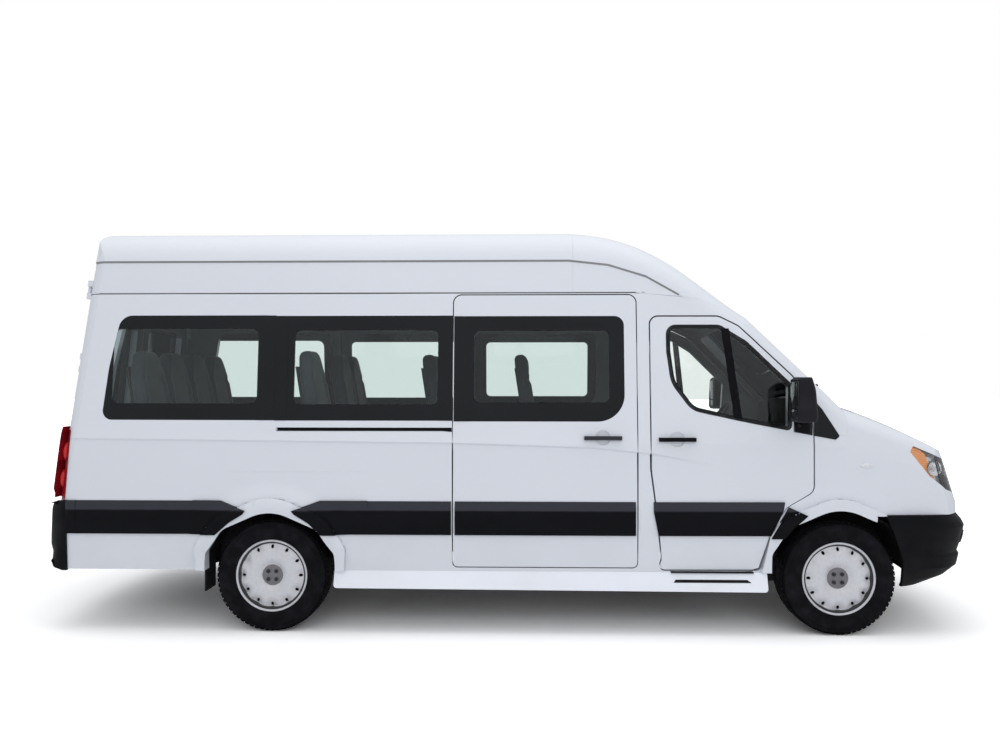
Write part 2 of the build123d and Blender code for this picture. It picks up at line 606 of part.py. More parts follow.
def door_panel(outline, window, side, cup):
    """A side door as thick as the wall, with a rebated hole for its pane and a hollow behind its handle."""
    low, high = side_range(side, 300.0, 1200.0)
    with BuildPart() as seat:
        add(rebate_skin.part)
        add(block("side", window, low, high, grow=FIT), mode=Mode.INTERSECT)
    with BuildPart() as door:
        add(shell.part)
        add(block("side", outline, low, high), mode=Mode.INTERSECT)
        add(seat.part, mode=Mode.SUBTRACT)
        add(block("side", window, low, high, grow=-FRAME_LAP), mode=Mode.SUBTRACT)
        add(rod((cup[0], side * CUP_FLOOR_Y, cup[1]), (cup[0], side * 1100.0, cup[1]), CUP_R), mode=Mode.SUBTRACT)
    return door


def door_pane(window, side):
    """The pane that lies flush in a side door."""
    with BuildPart() as pane:
        add(pane_skin.part)
        add(block("side", window, *side_range(side, 300.0, 1200.0)), mode=Mode.INTERSECT)
    return pane


save(door_panel(SLIDING_DOOR, WINDOW_C, -1, SLIDING_HANDLE), "sliding_door")
save(door_pane(WINDOW_C, -1), "sliding_door_window")

STRIP_RAIL_Z = 1287.0
HANDLE_H = 24.0
with BuildPart() as sliding_door_fittings:
    add(strip_piece(-1, [(-322.0, 600.0, 0), (-322.0, 900.0, 0), (812.0, 900.0, 0), (812.0, 600.0, 0)]))
    add(slab(490.0, 725.0, -1022.0, -970.0, 1224.0, 1224.0 + HANDLE_H))
    add(outer, mode=Mode.SUBTRACT)
save(sliding_door_fittings, "sliding_door_fittings")



def save_both(piece, stem):
    """Writes a right-hand piece and its mirror image for the left."""
    with BuildPart() as other:
        add(piece.part)
        mirror(about=Plane.XZ, mode=Mode.REPLACE)
    save(piece, f"{stem}_right")
    save(other, f"{stem}_left")


save_both(door_panel(FRONT_DOOR, DOOR_WINDOW, -1, FRONT_HANDLE), "front_door")
save_both(door_pane(DOOR_WINDOW, -1), "front_door_window")
strip = strip_piece(-1, [(960.0, 600.0, 0), (925.0, 770.0, 0), (921.0, 900.0, 0), (1750.0, 900.0, 0), (1730.0, 780.0, 0), (1640.0, 600.0, 0)])
# The mirror: a base in the window's front corner, two arms and the housing.
mirror_base = block("side", QUARTER_TRIM, -1000.0, -900.0)
mirror_lean = block("front", [(-984.0, 1240.0, 0), (-952.0, 1600.0, 0), (-900.0, 1600.0, 0), (-900.0, 1240.0, 0)], 1780.0, 1940.0)
with BuildPart() as mirror_plate:
    add(mirror_base)
    add(mirror_lean, mode=Mode.INTERSECT)
    add(outer, mode=Mode.SUBTRACT)
with BuildPart() as door_fittings:
    add(strip)
    add(mirror_plate.part)
    add(rod((1840.0, -962.0, 1310.0), (1806.0, -1110.0, 1362.0), 14.0))
    add(rod((1840.0, -940.0, 1500.0), (1806.0, -1110.0, 1540.0), 12.0))
    add(slab(956.0, 1186.0, -1021.0, -985.0, 1215.0, 1215.0 + HANDLE_H))
    add(outer, mode=Mode.SUBTRACT)
    with BuildSketch(Plane.YZ.offset(1748.0)):
        with Locations((-1168.0, 1480.0)):
            RectangleRounded(190.0, 262.0, 34.0)
    extrude(amount=104.0, dir=(1, 0, 0))
save_both(door_fittings, "front_door_fittings")

window = [(-y, z, r) for y, z, r in REAR_WINDOW[::-1]]
with BuildPart() as rear_seat:
    add(rebate_skin.part)
    add(block("front", window, -3100.0, -2500.0, grow=FIT), mode=Mode.INTERSECT)
with BuildPart() as rear_door:
    add(shell.part)
    add(rear_band(-REAR_DOOR_Y, -4.0, REAR_DOOR_LOW, REAR_DOOR_TOP, 150.0), mode=Mode.INTERSECT)
    add(rear_seat.part, mode=Mode.SUBTRACT)
    add(block("front", window, -3100.0, -2500.0, grow=-FRAME_LAP), mode=Mode.SUBTRACT)
    for z in REAR_HINGE_Z:
        add(rear_hinge_rod(-1, z - 66.0, z + 66.0, REAR_HINGE_R + 6.0), mode=Mode.SUBTRACT)
save_both(rear_door, "rear_door")
with BuildPart() as rear_pane:
    add(pane_skin.part)
    add(block("front", window, -3100.0, -2500.0), mode=Mode.INTERSECT)
save_both(rear_pane, "rear_door_window")

with BuildPart() as rear_fittings:
    for z in REAR_HINGE_Z:
        add(rear_plate(-REAR_HINGE_Y, -742.0, z - 19.0, z + 19.0, 18.0, 60.0))
    add(rear_plate(-150.0, -60.0, 1120.0, 1150.0, -22.0, 10.0))
    add(rear_plate(-170.0, -40.0, 1090.0, 1180.0, -5.0, 10.0))
    add(outer, mode=Mode.SUBTRACT)
    for z in REAR_HINGE_Z:
        add(rear_hinge_rod(-1, z - 19.0, z + 19.0, REAR_HINGE_R))
        add(rear_hinge_rod(-1, z - 22.0, z + 22.0, REAR_PIN_R + PIN_RUN), mode=Mode.SUBTRACT)
save_both(rear_fittings, "rear_door_fittings")

with BuildPart() as rear_hinges:
    for name, side in SIDES:
        for z in REAR_HINGE_Z:
            for low, high in ((z - 60.0, z - 21.0), (z + 21.0, z + 60.0)):
                add(rear_plate(*side_range(side, REAR_HINGE_Y, 832.0), low, high, 18.0, 60.0))
    add(outer, mode=Mode.SUBTRACT)
    for name, side in SIDES:
        for z in REAR_HINGE_Z:
            for low, high in ((z - 60.0, z - 21.0), (z + 21.0, z + 60.0)):
                add(rear_hinge_rod(side, low, high, REAR_HINGE_R))
            add(rear_hinge_rod(side, z - 60.0, z + 60.0, REAR_PIN_R))
save(rear_hinges, "rear_hinges")

# ---------------------------------------------------------------- bumpers and side trim
def bumper_shell(outlines, corner_r, crown, sign, thickness, side_outline):
    """A bumper's wall through the given outlines, trimmed to its outline seen from the side."""
    low, high = outlines[0], outlines[-1]
    hollow = [(low[0] - 50.0, low[1] - thickness, low[2] - sign * thickness)]
    hollow += [(z, w - thickness, x - sign * thickness) for z, w, x in outlines]
    hollow += [(high[0] + 50.0, high[1] - thickness, high[2] - sign * thickness)]
    full = end_block(outlines, corner_r, crown, sign, 0.0)
    core = end_block(hollow, corner_r - thickness, crown, sign, 0.0)
    trim = block("side", side_outline, -1100.0, 1100.0)
    with BuildPart() as solid_end:
        add(full)
        add(trim, mode=Mode.INTERSECT)
    with BuildPart() as hollow_end:
        add(core)
        add(trim, mode=Mode.INTERSECT)
    return solid_end.part, hollow_end.part


PLATE_W = 520.0
PLATE_H = 108.0
FRONT_PLATE_X = 3021.0
BUMPER_T = 34.0
STEP_Z = 560.0
front_bumper_side = [(2380.0, 800.0, 0), (2372.0, 740.0, 0), (2440.0, 569.0, 60), (2472.0, 470.0, 30),
                     (2486.0, 250.0, 0), (3100.0, 250.0, 0), (3100.0, 800.0, 0)]
bumper_solid, bumper_hollow = bumper_shell(FRONT_BUMPER_OUTLINES, 330.0, 60.0, 1, BUMPER_T, front_bumper_side)
with BuildPart() as front_bumper:
    add(bumper_solid)
    add(bumper_hollow, mode=Mode.SUBTRACT)
    with Locations((2900.0, 0, 470.0)):
        Box(500.0, 820.0, 90.0, mode=Mode.SUBTRACT)
    add(slab(2985.0, FRONT_PLATE_X - FIT, -PLATE_W / 2 + 10.0, PLATE_W / 2 - 10.0, 572.0, 668.0))
save(front_bumper, "front_bumper")

rear_bumper_side = [(-3100.0, 370.0, 0), (-2760.0, 370.0, 0), (-2762.0, 436.0, 20), (-2790.0, 640.0, 60),
                    (-2800.0, 822.0, 0), (-3100.0, 822.0, 0)]
bumper_solid, bumper_hollow = bumper_shell(REAR_BUMPER_OUTLINES, 200.0, 60.0, -1, BUMPER_T, rear_bumper_side)
with BuildPart() as rear_bumper:
    add(bumper_solid)
    add(bumper_hollow, mode=Mode.SUBTRACT)
    with Locations((-2950.0, 0, STEP_Z + 200.0)):
        Box(400.0, 2 * (REAR_DOOR_Y + 36.0), 400.0, mode=Mode.SUBTRACT)
    add(slab(-2975.0, -2930.0, -790.0, 790.0, STEP_Z - 40.0, STEP_Z))
    add(outer, mode=Mode.SUBTRACT)
    add(slab(-3040.0, -3001.6 + FIT, -PLATE_W / 2 - 4.0, PLATE_W / 2 + 4.0, 444.0, 448.0 + PLATE_H), mode=Mode.SUBTRACT)
save(rear_bumper, "rear_bumper")

STRIP_RUNS = {
    -1: [[(-2752.0, 600.0, 0), (-2752.0, 900.0, 0), (-1940.0, 900.0, 0), (-1990.0, 600.0, 0)],
         [(-1000.0, 600.0, 0), (-1040.0, 900.0, 0), (-346.0, 900.0, 0), (-346.0, 600.0, 0)]],
    1: [[(-2752.0, 600.0, 0), (-2752.0, 900.0, 0), (-1940.0, 900.0, 0), (-1990.0, 600.0, 0)],
        [(-1000.0, 600.0, 0), (-1040.0, 900.0, 0), (900.0, 900.0, 0), (900.0, 772.0, 0), (935.0, 600.0, 0)]],
}
strips = [strip_piece(side, run) for name, side in SIDES for run in STRIP_RUNS[side]]
SILL_BOARD = [(-1085.0, 291.0, 20), (-1085.0, SILL_Z - FIT, 0), (1630.0, SILL_Z - FIT, 0), (1630.0, 279.0, 20)]
with BuildPart() as side_trim:
    for strip in strips:
        add(strip)
    for name, side in SIDES:
        add(block("side", SILL_BOARD, *side_range(side, 900.0, 1018.0)))
save(side_trim, "side_trim")

# ---------------------------------------------------------------- floor, wheel housings and chassis
def housing(centre_x, radius, side, near, wall):
    """A wheel housing: an arched tunnel closed towards the middle of the vehicle, open below."""
    low, high = side_range(side, near, HALF_WIDTH)
    cavity_low, cavity_high = side_range(side, near + wall, HALF_WIDTH + 50.0)
    with BuildPart() as tunnel:
        add(arch(centre_x, radius + wall, low, high))
        add(arch(centre_x, radius, cavity_low, cavity_high), mode=Mode.SUBTRACT)
        add(slab(centre_x - 700.0, centre_x + 700.0, -1200.0, 1200.0, 0.0, HOUSING_LOW_Z), mode=Mode.SUBTRACT)
        add(inner, mode=Mode.INTERSECT)
    return tunnel.part


HOUSING_LOW_Z = 430.0
HOUSING_T = 8.0
# Columns: axle x, inside radius, inner edge from the centre line.
HOUSINGS = [(FRONT_AXLE_X, ARCH_FRONT_R + 14.0, 522.0), (REAR_AXLE_X, ARCH_REAR_R + 6.0, 690.0)]
housings = [housing(x, r, side, near, HOUSING_T) for x, r, near in HOUSINGS for name, side in SIDES]
with BuildPart() as housing_room:
    for x, r, near in HOUSINGS:
        for name, side in SIDES:
            add(arch(x, r + HOUSING_T + FIT, *side_range(side, near - FIT, HALF_WIDTH)))

with BuildPart() as wheel_housings:
    for piece in housings:
        add(piece)
    add(slab(FRONT_AXLE_X - 230.0, FRONT_AXLE_X + 230.0, -700.0, 700.0, 0.0, 580.0), mode=Mode.SUBTRACT)
    for name, side in SIDES:
        low, high = side_range(side, 745.0, 925.0)
        add(slab(-1936.0, -1926.0, low, high, 243.0, FLOOR_TOP - FLOOR_T - FIT))
save(wheel_housings, "wheel_housings")

FIREWALL_X = 2070.0
FIREWALL_T = 30.0
with BuildPart() as floor_pan:
    add(slab(-2830.0, FIREWALL_X + FIREWALL_T, -1000.0, 1000.0, FLOOR_TOP - FLOOR_T, FLOOR_TOP))
    add(slab(FIREWALL_X, FIREWALL_X + FIREWALL_T, -1000.0, 1000.0, FLOOR_TOP - 1.0, 1600.0))
    add(inner, mode=Mode.INTERSECT)
    add(housing_room.part, mode=Mode.SUBTRACT)
save(floor_pan, "floor_pan")

RAIL_TOP = FLOOR_TOP - FLOOR_T - FIT
RAIL_REAR_X = -2840.0
RAIL_FRONT_X = 2850.0
SPARE_X = -2420.0
SPARE_Z = 260.0                 # underside of the spare wheel
CROSSMEMBERS_X = [-2800.0, -2000.0, -900.0, 0.0, 900.0, 2815.0]
GEARBOX_X = 1350.0
GEARBOX_Z = 505.0
GEARBOX_R = 88.0
SHAFT_R = 42.0
SHAFT_FRONT = (GEARBOX_X - 3.0, 0, GEARBOX_Z)
SHAFT_REAR = (REAR_AXLE_X + 263.0, 0, TYRE_R + 12.0)
with BuildPart() as chassis_frame:
    for name, side in SIDES:
        add(slab(RAIL_REAR_X, RAIL_FRONT_X, *side_range(side, RAIL_Y - RAIL_W / 2, RAIL_Y + RAIL_W / 2), RAIL_TOP - RAIL_H, RAIL_TOP))
    for x in CROSSMEMBERS_X:
        add(slab(x - 35.0, x + 35.0, -RAIL_Y, RAIL_Y, RAIL_TOP - RAIL_H + 20.0, RAIL_TOP - 20.0))
    add(slab(SPARE_X - 35.0, SPARE_X + 35.0, -RAIL_Y, RAIL_Y, RAIL_TOP - 60.0, RAIL_TOP - 20.0))
    add(rod(SHAFT_FRONT, SHAFT_REAR, SHAFT_R + 14.0), mode=Mode.SUBTRACT)
    add(rod((SPARE_X, 0, RAIL_TOP - 50.0), (SPARE_X, 0, SPARE_Z - 30.0), 22.0))
    add(rod((SPARE_X, 0, SPARE_Z - FIT), (SPARE_X, 0, SPARE_Z - 30.0), 110.0))
    for x in (-2300.0, -1050.0, -300.0, 500.0, 1300.0):
        for name, side in SIDES:
            add(slab(x - 25.0, x + 25.0, *side_range(side, RAIL_Y, 900.0 if abs(x - REAR_AXLE_X) > 700.0 else 660.0), RAIL_TOP - 60.0, RAIL_TOP))
save(chassis_frame, "chassis_frame")

SPRING_Y = 545.0
SPRING_W = 70.0
BEAM_R = 48.0
SPRING_FRONT_X = REAR_AXLE_X + 640.0
SPRING_REAR_X = REAR_AXLE_X - 640.0
with BuildPart() as rear_axle:
    add(rod((REAR_AXLE_X, -760.0, TYRE_R), (REAR_AXLE_X, 760.0, TYRE_R), BEAM_R))
    for name, side in SIDES:
        add(rod((REAR_AXLE_X, side * 700.0, TYRE_R), (REAR_AXLE_X, side * 790.0, TYRE_R), 150.0))
        add(rod((REAR_AXLE_X, side * 700.0, TYRE_R), (REAR_AXLE_X, side * (WHEEL_Y + 34.0), TYRE_R), HUB_R))
    with Locations((REAR_AXLE_X, 0, TYRE_R)):
        Sphere(150.0)
    add(rod((REAR_AXLE_X, 0, TYRE_R), (REAR_AXLE_X + 260.0, 0, TYRE_R + 10.0), 55.0))
save(rear_axle, "rear_axle")

LEAVES = [(0.0, 640.0), (14.4, 520.0), (28.8, 360.0)]   # drop below the main leaf, half length
LEAF_T = 14.0
with BuildPart() as rear_springs:
    for name, side in SIDES:
        low, high = side_range(side, SPRING_Y - SPRING_W / 2, SPRING_Y + SPRING_W / 2)
        for drop, reach in LEAVES:
            base = TYRE_R + BEAM_R + 46.0 - drop
            rise = 70.0 * (reach / 640.0) ** 2
            with BuildSketch(base_plane("side", low, high)):
                with BuildLine():
                    ThreePointArc((REAR_AXLE_X - reach, base + rise), (REAR_AXLE_X, base), (REAR_AXLE_X + reach, base + rise))
                    ThreePointArc((REAR_AXLE_X - reach, base + rise + LEAF_T), (REAR_AXLE_X, base + LEAF_T), (REAR_AXLE_X + reach, base + rise + LEAF_T))
                    Line((REAR_AXLE_X - reach, base + rise), (REAR_AXLE_X - reach, base + rise + LEAF_T))
                    Line((REAR_AXLE_X + reach, base + rise), (REAR_AXLE_X + reach, base + rise + LEAF_T))
                make_face()
            extrude(amount=high - low)
        add(slab(REAR_AXLE_X - 55.0, REAR_AXLE_X + 55.0, low - 8.0, high + 8.0, TYRE_R + BEAM_R + FIT, TYRE_R + BEAM_R + 66.0))
        for x in (SPRING_FRONT_X, SPRING_REAR_X):
            add(rod((x, side * (RAIL_Y + RAIL_W / 2 + FIT), 526.0), (x, side * (SPRING_Y + SPRING_W / 2), 526.0), 28.0))
save(rear_springs, "rear_springs")

ENGINE = (2160.0, 2690.0, -270.0, 270.0, 480.0, 1090.0)
with BuildPart() as engine:
    add(slab(*ENGINE))
    add(slab(2160.0, 2690.0, -RAIL_Y + RAIL_W / 2 + FIT, RAIL_Y - RAIL_W / 2 - FIT, 500.0, 560.0))
    add(rod((GEARBOX_X, 0, GEARBOX_Z), (2162.0, 0, GEARBOX_Z), GEARBOX_R))
    with BuildSketch(Plane.YZ.offset(2108.0)):
        with Locations((0, GEARBOX_Z)):
            Circle(GEARBOX_R)
    with BuildSketch(Plane.YZ.offset(2160.0)):
        with Locations((0, GEARBOX_Z + 60.0)):
            Circle(180.0)
    loft()
    add(slab(2740.0, 2790.0, -560.0, 560.0, RAIL_TOP + FIT, 1060.0))
save(engine, "engine")

with BuildPart() as propshaft:
    add(rod(SHAFT_FRONT, SHAFT_REAR, SHAFT_R))
save(propshaft, "propshaft")

with BuildPart() as fuel_tank:
    with BuildSketch(Plane.YZ.offset(-250.0)):
        with Locations((640.0, RAIL_TOP - 60.0 - FIT - 95.0)):
            RectangleRounded(340.0, 190.0, 40.0)
    extrude(amount=950.0, dir=(1, 0, 0))
save(fuel_tank, "fuel_tank")

with BuildPart() as exhaust:
    add(rod((2300.0, -215.0, ENGINE[4] - FIT), (2300.0, -215.0, 425.0), 32.0))
    with Locations((2300.0, -215.0, 425.0)):
        Sphere(32.0)
    add(rod((2300.0, -215.0, 425.0), (700.0, -250.0, 400.0), 32.0))
    add(rod((720.0, -250.0, 400.0), (-120.0, -250.0, 400.0), 95.0))
    add(rod((-100.0, -250.0, 400.0), (-1000.0, -260.0, 420.0), 32.0))
save(exhaust, "exhaust")

with BuildPart() as spare_wheel:
    with BuildSketch(Plane.XY.offset(SPARE_Z)):
        with Locations((SPARE_X, 0)):
            Circle(TYRE_R)
            Circle(70.0, mode=Mode.SUBTRACT)
    extrude(amount=200.0)
    fillet(edges().filter_by(GeomType.CIRCLE).sort_by(SortBy.RADIUS)[-2:], 50.0)
save(spare_wheel, "spare_wheel")

# ---------------------------------------------------------------- front suspension, knuckles and wheels
ARM_LOW_Z = 236.0
ARM_HIGH_Z = 506.0
ARM_T = 22.0
PIN_R = 13.0
STRUT_Y = 575.0
KNUCKLE_H = 220.0
with BuildPart() as front_suspension:
    add(slab(FRONT_AXLE_X - 330.0, FRONT_AXLE_X + 330.0, -RAIL_Y + RAIL_W / 2, RAIL_Y - RAIL_W / 2, 240.0, 330.0))
    for name, side in SIDES:
        add(slab(FRONT_AXLE_X - 330.0, FRONT_AXLE_X + 330.0, *side_range(side, RAIL_Y - RAIL_W / 2, RAIL_Y + RAIL_W / 2), 225.0, RAIL_TOP - RAIL_H - FIT))
        for z, reach, half in ((ARM_LOW_Z, 200.0, 70.0), (ARM_HIGH_Z, 160.0, 40.0)):
            root = RAIL_Y + RAIL_W / 2 - (0.0 if z == ARM_LOW_Z else -FIT)
            outline = [(FRONT_AXLE_X - reach, side * root, 0), (FRONT_AXLE_X - 24.0, side * (KINGPIN_Y + 18.0), 12.0),
                       (FRONT_AXLE_X + 24.0, side * (KINGPIN_Y + 18.0), 12.0), (FRONT_AXLE_X + reach, side * root, 0)]
            add(block("plan", outline if side < 0 else outline[::-1], z - ARM_T / 2, z + ARM_T / 2))
            hole = [(FRONT_AXLE_X - reach + 55.0, side * (root + 12.0), 0), (FRONT_AXLE_X - 30.0, side * 640.0, 12.0),
                    (FRONT_AXLE_X + 30.0, side * 640.0, 12.0), (FRONT_AXLE_X + reach - 55.0, side * (root + 12.0), 0)]
            if z == ARM_HIGH_Z:
                add(block("plan", hole if side < 0 else hole[::-1], z - ARM_T, z + ARM_T), mode=Mode.SUBTRACT)
        add(rod((FRONT_AXLE_X, side * KINGPIN_Y, ARM_LOW_Z), (FRONT_AXLE_X, side * KINGPIN_Y, TYRE_R - 70.0), PIN_R))
        add(rod((FRONT_AXLE_X, side * KINGPIN_Y, ARM_HIGH_Z), (FRONT_AXLE_X, side * KINGPIN_Y, TYRE_R + 70.0), PIN_R))
        add(rod((FRONT_AXLE_X, side * STRUT_Y, ARM_LOW_Z), (FRONT_AXLE_X, side * STRUT_Y, 560.0), 26.0))
        add(rod((FRONT_AXLE_X, side * STRUT_Y, 545.0), (FRONT_AXLE_X, side * STRUT_Y, 700.0), 38.0))
        add(slab(FRONT_AXLE_X - 60.0, FRONT_AXLE_X + 60.0, *side_range(side, HOUSINGS[0][2] + HOUSING_T + FIT, 600.0), 690.0, 710.0))
save(front_suspension, "front_suspension")

for name, side in SIDES:
    with BuildPart() as knuckle:
        add(slab(FRONT_AXLE_X - 42.0, FRONT_AXLE_X + 42.0, *side_range(side, KINGPIN_Y - 28.0, KINGPIN_Y + 32.0), TYRE_R - KNUCKLE_H / 2 + 8.0, TYRE_R + KNUCKLE_H / 2 + 8.0))
        add(rod((FRONT_AXLE_X, side * (KINGPIN_Y + 20.0), TYRE_R), (FRONT_AXLE_X, side * (WHEEL_Y + 34.0), TYRE_R), HUB_R))
        add(rod((FRONT_AXLE_X, side * (KINGPIN_Y + 40.0), TYRE_R), (FRONT_AXLE_X, side * (KINGPIN_Y + 66.0), TYRE_R), 150.0))
        add(slab(FRONT_AXLE_X - 180.0, FRONT_AXLE_X - 30.0, *side_range(side, KINGPIN_Y - 28.0, KINGPIN_Y - 2.0), TYRE_R - 60.0, TYRE_R - 30.0))
        add(rod((FRONT_AXLE_X, side * KINGPIN_Y, 100.0), (FRONT_AXLE_X, side * KINGPIN_Y, TYRE_R - 70.0 + 1.0), PIN_R + 0.06), mode=Mode.SUBTRACT)
        add(rod((FRONT_AXLE_X, side * KINGPIN_Y, TYRE_R + 70.0 - 1.0), (FRONT_AXLE_X, side * KINGPIN_Y, 700.0), PIN_R + 0.06), mode=Mode.SUBTRACT)
    save(knuckle, f"knuckle_{name}")

# Profiles round the axle. Columns: distance outwards from the wheel's centre plane, radius.
TYRE_PROFILE = [(-105.0, RIM_R), (-115.0, 270.0), (-TYRE_W / 2, 300.0), (-110.0, 338.0), (-92.0, 352.0), (-60.0, TYRE_R),
                (60.0, TYRE_R), (92.0, 352.0), (110.0, 338.0), (TYRE_W / 2, 300.0), (115.0, 270.0), (105.0, RIM_R),
                (90.0, RIM_R + 8.0), (90.0, 300.0), (60.0, 326.0), (-60.0, 326.0), (-90.0, 300.0), (-90.0, RIM_R + 8.0)]
RIM_PROFILE = [(-106.5, RIM_R - FIT), (106.5, RIM_R - FIT), (108.0, RIM_R + 10.0), (114.0, RIM_R + 8.0), (112.0, 196.0),
               (100.0, 190.0), (84.0, 188.0), (96.0, 160.0), (98.0, 110.0), (86.0, 66.0), (74.0, 60.0), (72.0, HUB_R + 8.0),
               (40.0, HUB_R + 8.0), (40.0, HUB_R + HUB_RUN), (-30.0, HUB_R + HUB_RUN), (-30.0, 100.0), (-10.0, 110.0),
               (10.0, 150.0), (60.0, 178.0), (-112.0, 190.0), (-114.0, RIM_R + 8.0), (-108.0, RIM_R + 10.0)]
CAP = [(72.0, 0.0), (72.0, HUB_R + 8.0), (66.0, HUB_R + 8.0), (66.0, 0.0)]


def turned(profile, centre_x, side):
    """A solid of revolution about a wheel's axle."""
    plane = Plane(origin=(centre_x, side * WHEEL_Y, TYRE_R), x_dir=(0, side, 0), z_dir=(side, 0, 0))
    with BuildPart() as piece:
        with BuildSketch(plane):
            with BuildLine():
                Polyline(*profile, close=True)
            make_face()
        revolve(axis=Axis((centre_x, side * WHEEL_Y, TYRE_R), (0, 1, 0)))
    return piece


for name, centre_x, side in WHEELS:
    save(turned(TYRE_PROFILE, centre_x, side), f"tyre_{name}")
    save(turned(RIM_PROFILE, centre_x, side), f"rim_{name}")

# ---------------------------------------------------------------- cab and saloon
WHEEL_TOP = (1640.0, 450.0, 1262.0)
# The column is fixed to the dashboard; the wheel turns on the pin at its top.
COLUMN_TILT = radians(32.0)
COLUMN_AXIS = Vector(-cos(COLUMN_TILT), 0, sin(COLUMN_TILT))
WHEEL_RIM_R = 195.0
COLUMN_PIN_R = 11.0


def on_column(distance):
    """A point on the column's axis, that far above the steering wheel's middle."""
    return tuple(Vector(*WHEEL_TOP) + COLUMN_AXIS * distance)


with BuildPart() as steering_wheel:
    add(rod(on_column(-42.0), on_column(16.0), 48.0))
    with BuildSketch(Plane(origin=on_column(0.0), x_dir=(0, 1, 0), z_dir=Vector(0, 1, 0).cross(COLUMN_AXIS))):
        with Locations((WHEEL_RIM_R - 15.0, 0)):
            Circle(15.0)
    revolve(axis=Axis(on_column(0.0), COLUMN_AXIS))
    with BuildSketch(Plane(origin=on_column(-9.0), x_dir=(0, 1, 0), z_dir=COLUMN_AXIS)):
        Rectangle(2 * WHEEL_RIM_R - 40.0, 46.0)
        with Locations((0, -90.0)):
            Rectangle(46.0, 180.0)
    extrude(amount=18.0)
    add(rod(on_column(-60.0), on_column(-8.0), COLUMN_PIN_R + HUB_RUN), mode=Mode.SUBTRACT)
save(steering_wheel, "steering_wheel")

with BuildPart() as dashboard:
    add(block("side", [(1820.0, 900.0, 20), (1770.0, 1130.0, 40), (1840.0, 1235.0, 40), (FIREWALL_X - FIT, 1250.0, 0), (FIREWALL_X - FIT, 860.0, 0)], -1000.0, 1000.0))
    add(inner, mode=Mode.INTERSECT)
    add(rod(on_column(-47.5), on_column(-300.0), 32.0))
    add(rod(on_column(-10.0), on_column(-60.0), COLUMN_PIN_R))
save(dashboard, "dashboard")

# Seat rows. Columns: x of the backrest's top, middle y, width, number of places.
FRONT_SEATS = [(960.0, 470.0, 500.0, 1), (960.0, -420.0, 860.0, 2)]
ROWS = [(59.0, 480.0, 860.0, 2), (-642.0, 480.0, 860.0, 2), (-1343.0, 480.0, 860.0, 2), (-1343.0, -690.0, 430.0, 1), (-2470.0, 0.0, 1720.0, 4)]
SEAT_TOP = 1060.0
BACK_TOP = 1800.0
CUSHION_H = 110.0
BACK_T = 90.0


def seat_cushions(rows):
    """Base and back cushions of each place, as plain closed solids."""
    with BuildPart() as cushions:
        for top_x, middle_y, width, places in rows:
            place = width / places
            for index in range(places):
                low = middle_y - width / 2 + index * place + 6.0
                high = low + place - 12.0
                add(block("side", [(top_x + 190.0, SEAT_TOP, 30), (top_x + 640.0, SEAT_TOP + 15.0, 40), (top_x + 640.0, SEAT_TOP - CUSHION_H, 30), (top_x + 190.0, SEAT_TOP - CUSHION_H, 30)], low, high))
                add(block("side", [(top_x + 95.0, SEAT_TOP - 20.0, 20), (top_x - 20.0, BACK_TOP, 30), (top_x + 60.0, BACK_TOP, 30), (top_x + 185.0, SEAT_TOP - 20.0, 20)], low, high))
    return cushions


save(seat_cushions(FRONT_SEATS), "front_seats")
save(seat_cushions(ROWS), "passenger_seats")
with BuildPart() as seat_frames:
    for top_x, middle_y, width, places in FRONT_SEATS + ROWS:
        low = middle_y - width / 2
        add(slab(top_x + 80.0, top_x + 620.0, low + 20.0, low + width - 20.0, SEAT_TOP - CUSHION_H - FIT - 30.0, SEAT_TOP - CUSHION_H - FIT))
        for y in (low + 120.0, low + width - 160.0):
            base = FLOOR_TOP + FIT
            add(slab(top_x + 200.0, top_x + 560.0, y, y + 40.0, base, SEAT_TOP - CUSHION_H - FIT - 29.0))
        foot = (top_x + 113.4 - FIT, 918.0)
        head = (top_x - 2.8 - FIT, 1686.0)
        add(block("side", [(*foot, 0), (foot[0] - 14.0, foot[1], 0), (head[0] - 14.0, head[1], 0), (*head, 0)], low + 20.0, low + width - 20.0))
save(seat_frames, "seat_frames")

# ---------------------------------------------------------------- plates and wipers
with BuildPart() as number_plates:
    add(slab(FRONT_PLATE_X, FRONT_PLATE_X + 3.0, -PLATE_W / 2, PLATE_W / 2, 566.0, 566.0 + PLATE_H))
    add(slab(-3004.6, -3001.6, -PLATE_W / 2, PLATE_W / 2, 448.0, 448.0 + PLATE_H))
save(number_plates, "number_plates")


def screen_point(x, y, lift):
    """A point that far above the windscreen."""
    share = (x - SCREEN[0][0]) / (SCREEN[1][0] - SCREEN[0][0])
    heights = []
    for station in SCREEN:
        middle, end = section_points(*station[1:])
        sag = (station[6] - end[1]) * (y / end[0]) ** 2
        heights.append(station[6] - sag)
    return (x + lift * 0.7, y, heights[0] + (heights[1] - heights[0]) * share + lift * 0.71)


# Columns: y of the pivot, its top, y of the arm's end, y of the blade's ends.
WIPERS = [(560.0, 1440.0, 60.0, 330.0, -250.0), (-20.0, 1478.0, -480.0, -200.0, -740.0)]
with BuildPart() as wipers:
    for pivot_y, neck_z, arm_y, blade_from, blade_to in WIPERS:
        foot = (2195.0, pivot_y, 1385.0)
        neck = (2195.0, pivot_y, neck_z)
        reach = screen_point(2050.0, arm_y, 26.0)
        add(rod(foot, neck, 9.0))
        add(rod((2195.0, pivot_y, neck_z - 12.0), (2195.0, pivot_y, neck_z + 6.0), 17.0))
        add(rod(neck, reach, 7.0))
        add(rod(screen_point(2092.0, blade_from, 16.0), screen_point(2008.0, blade_to, 16.0), 8.0))
        add(rod(reach, screen_point(2050.0, arm_y, 12.0), 8.0))
    add(lid_back, mode=Mode.SUBTRACT)
save(wipers, "wipers")
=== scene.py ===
"""Minibus finishes: paint, glass, lamps, wheels, seats and stage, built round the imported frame."""

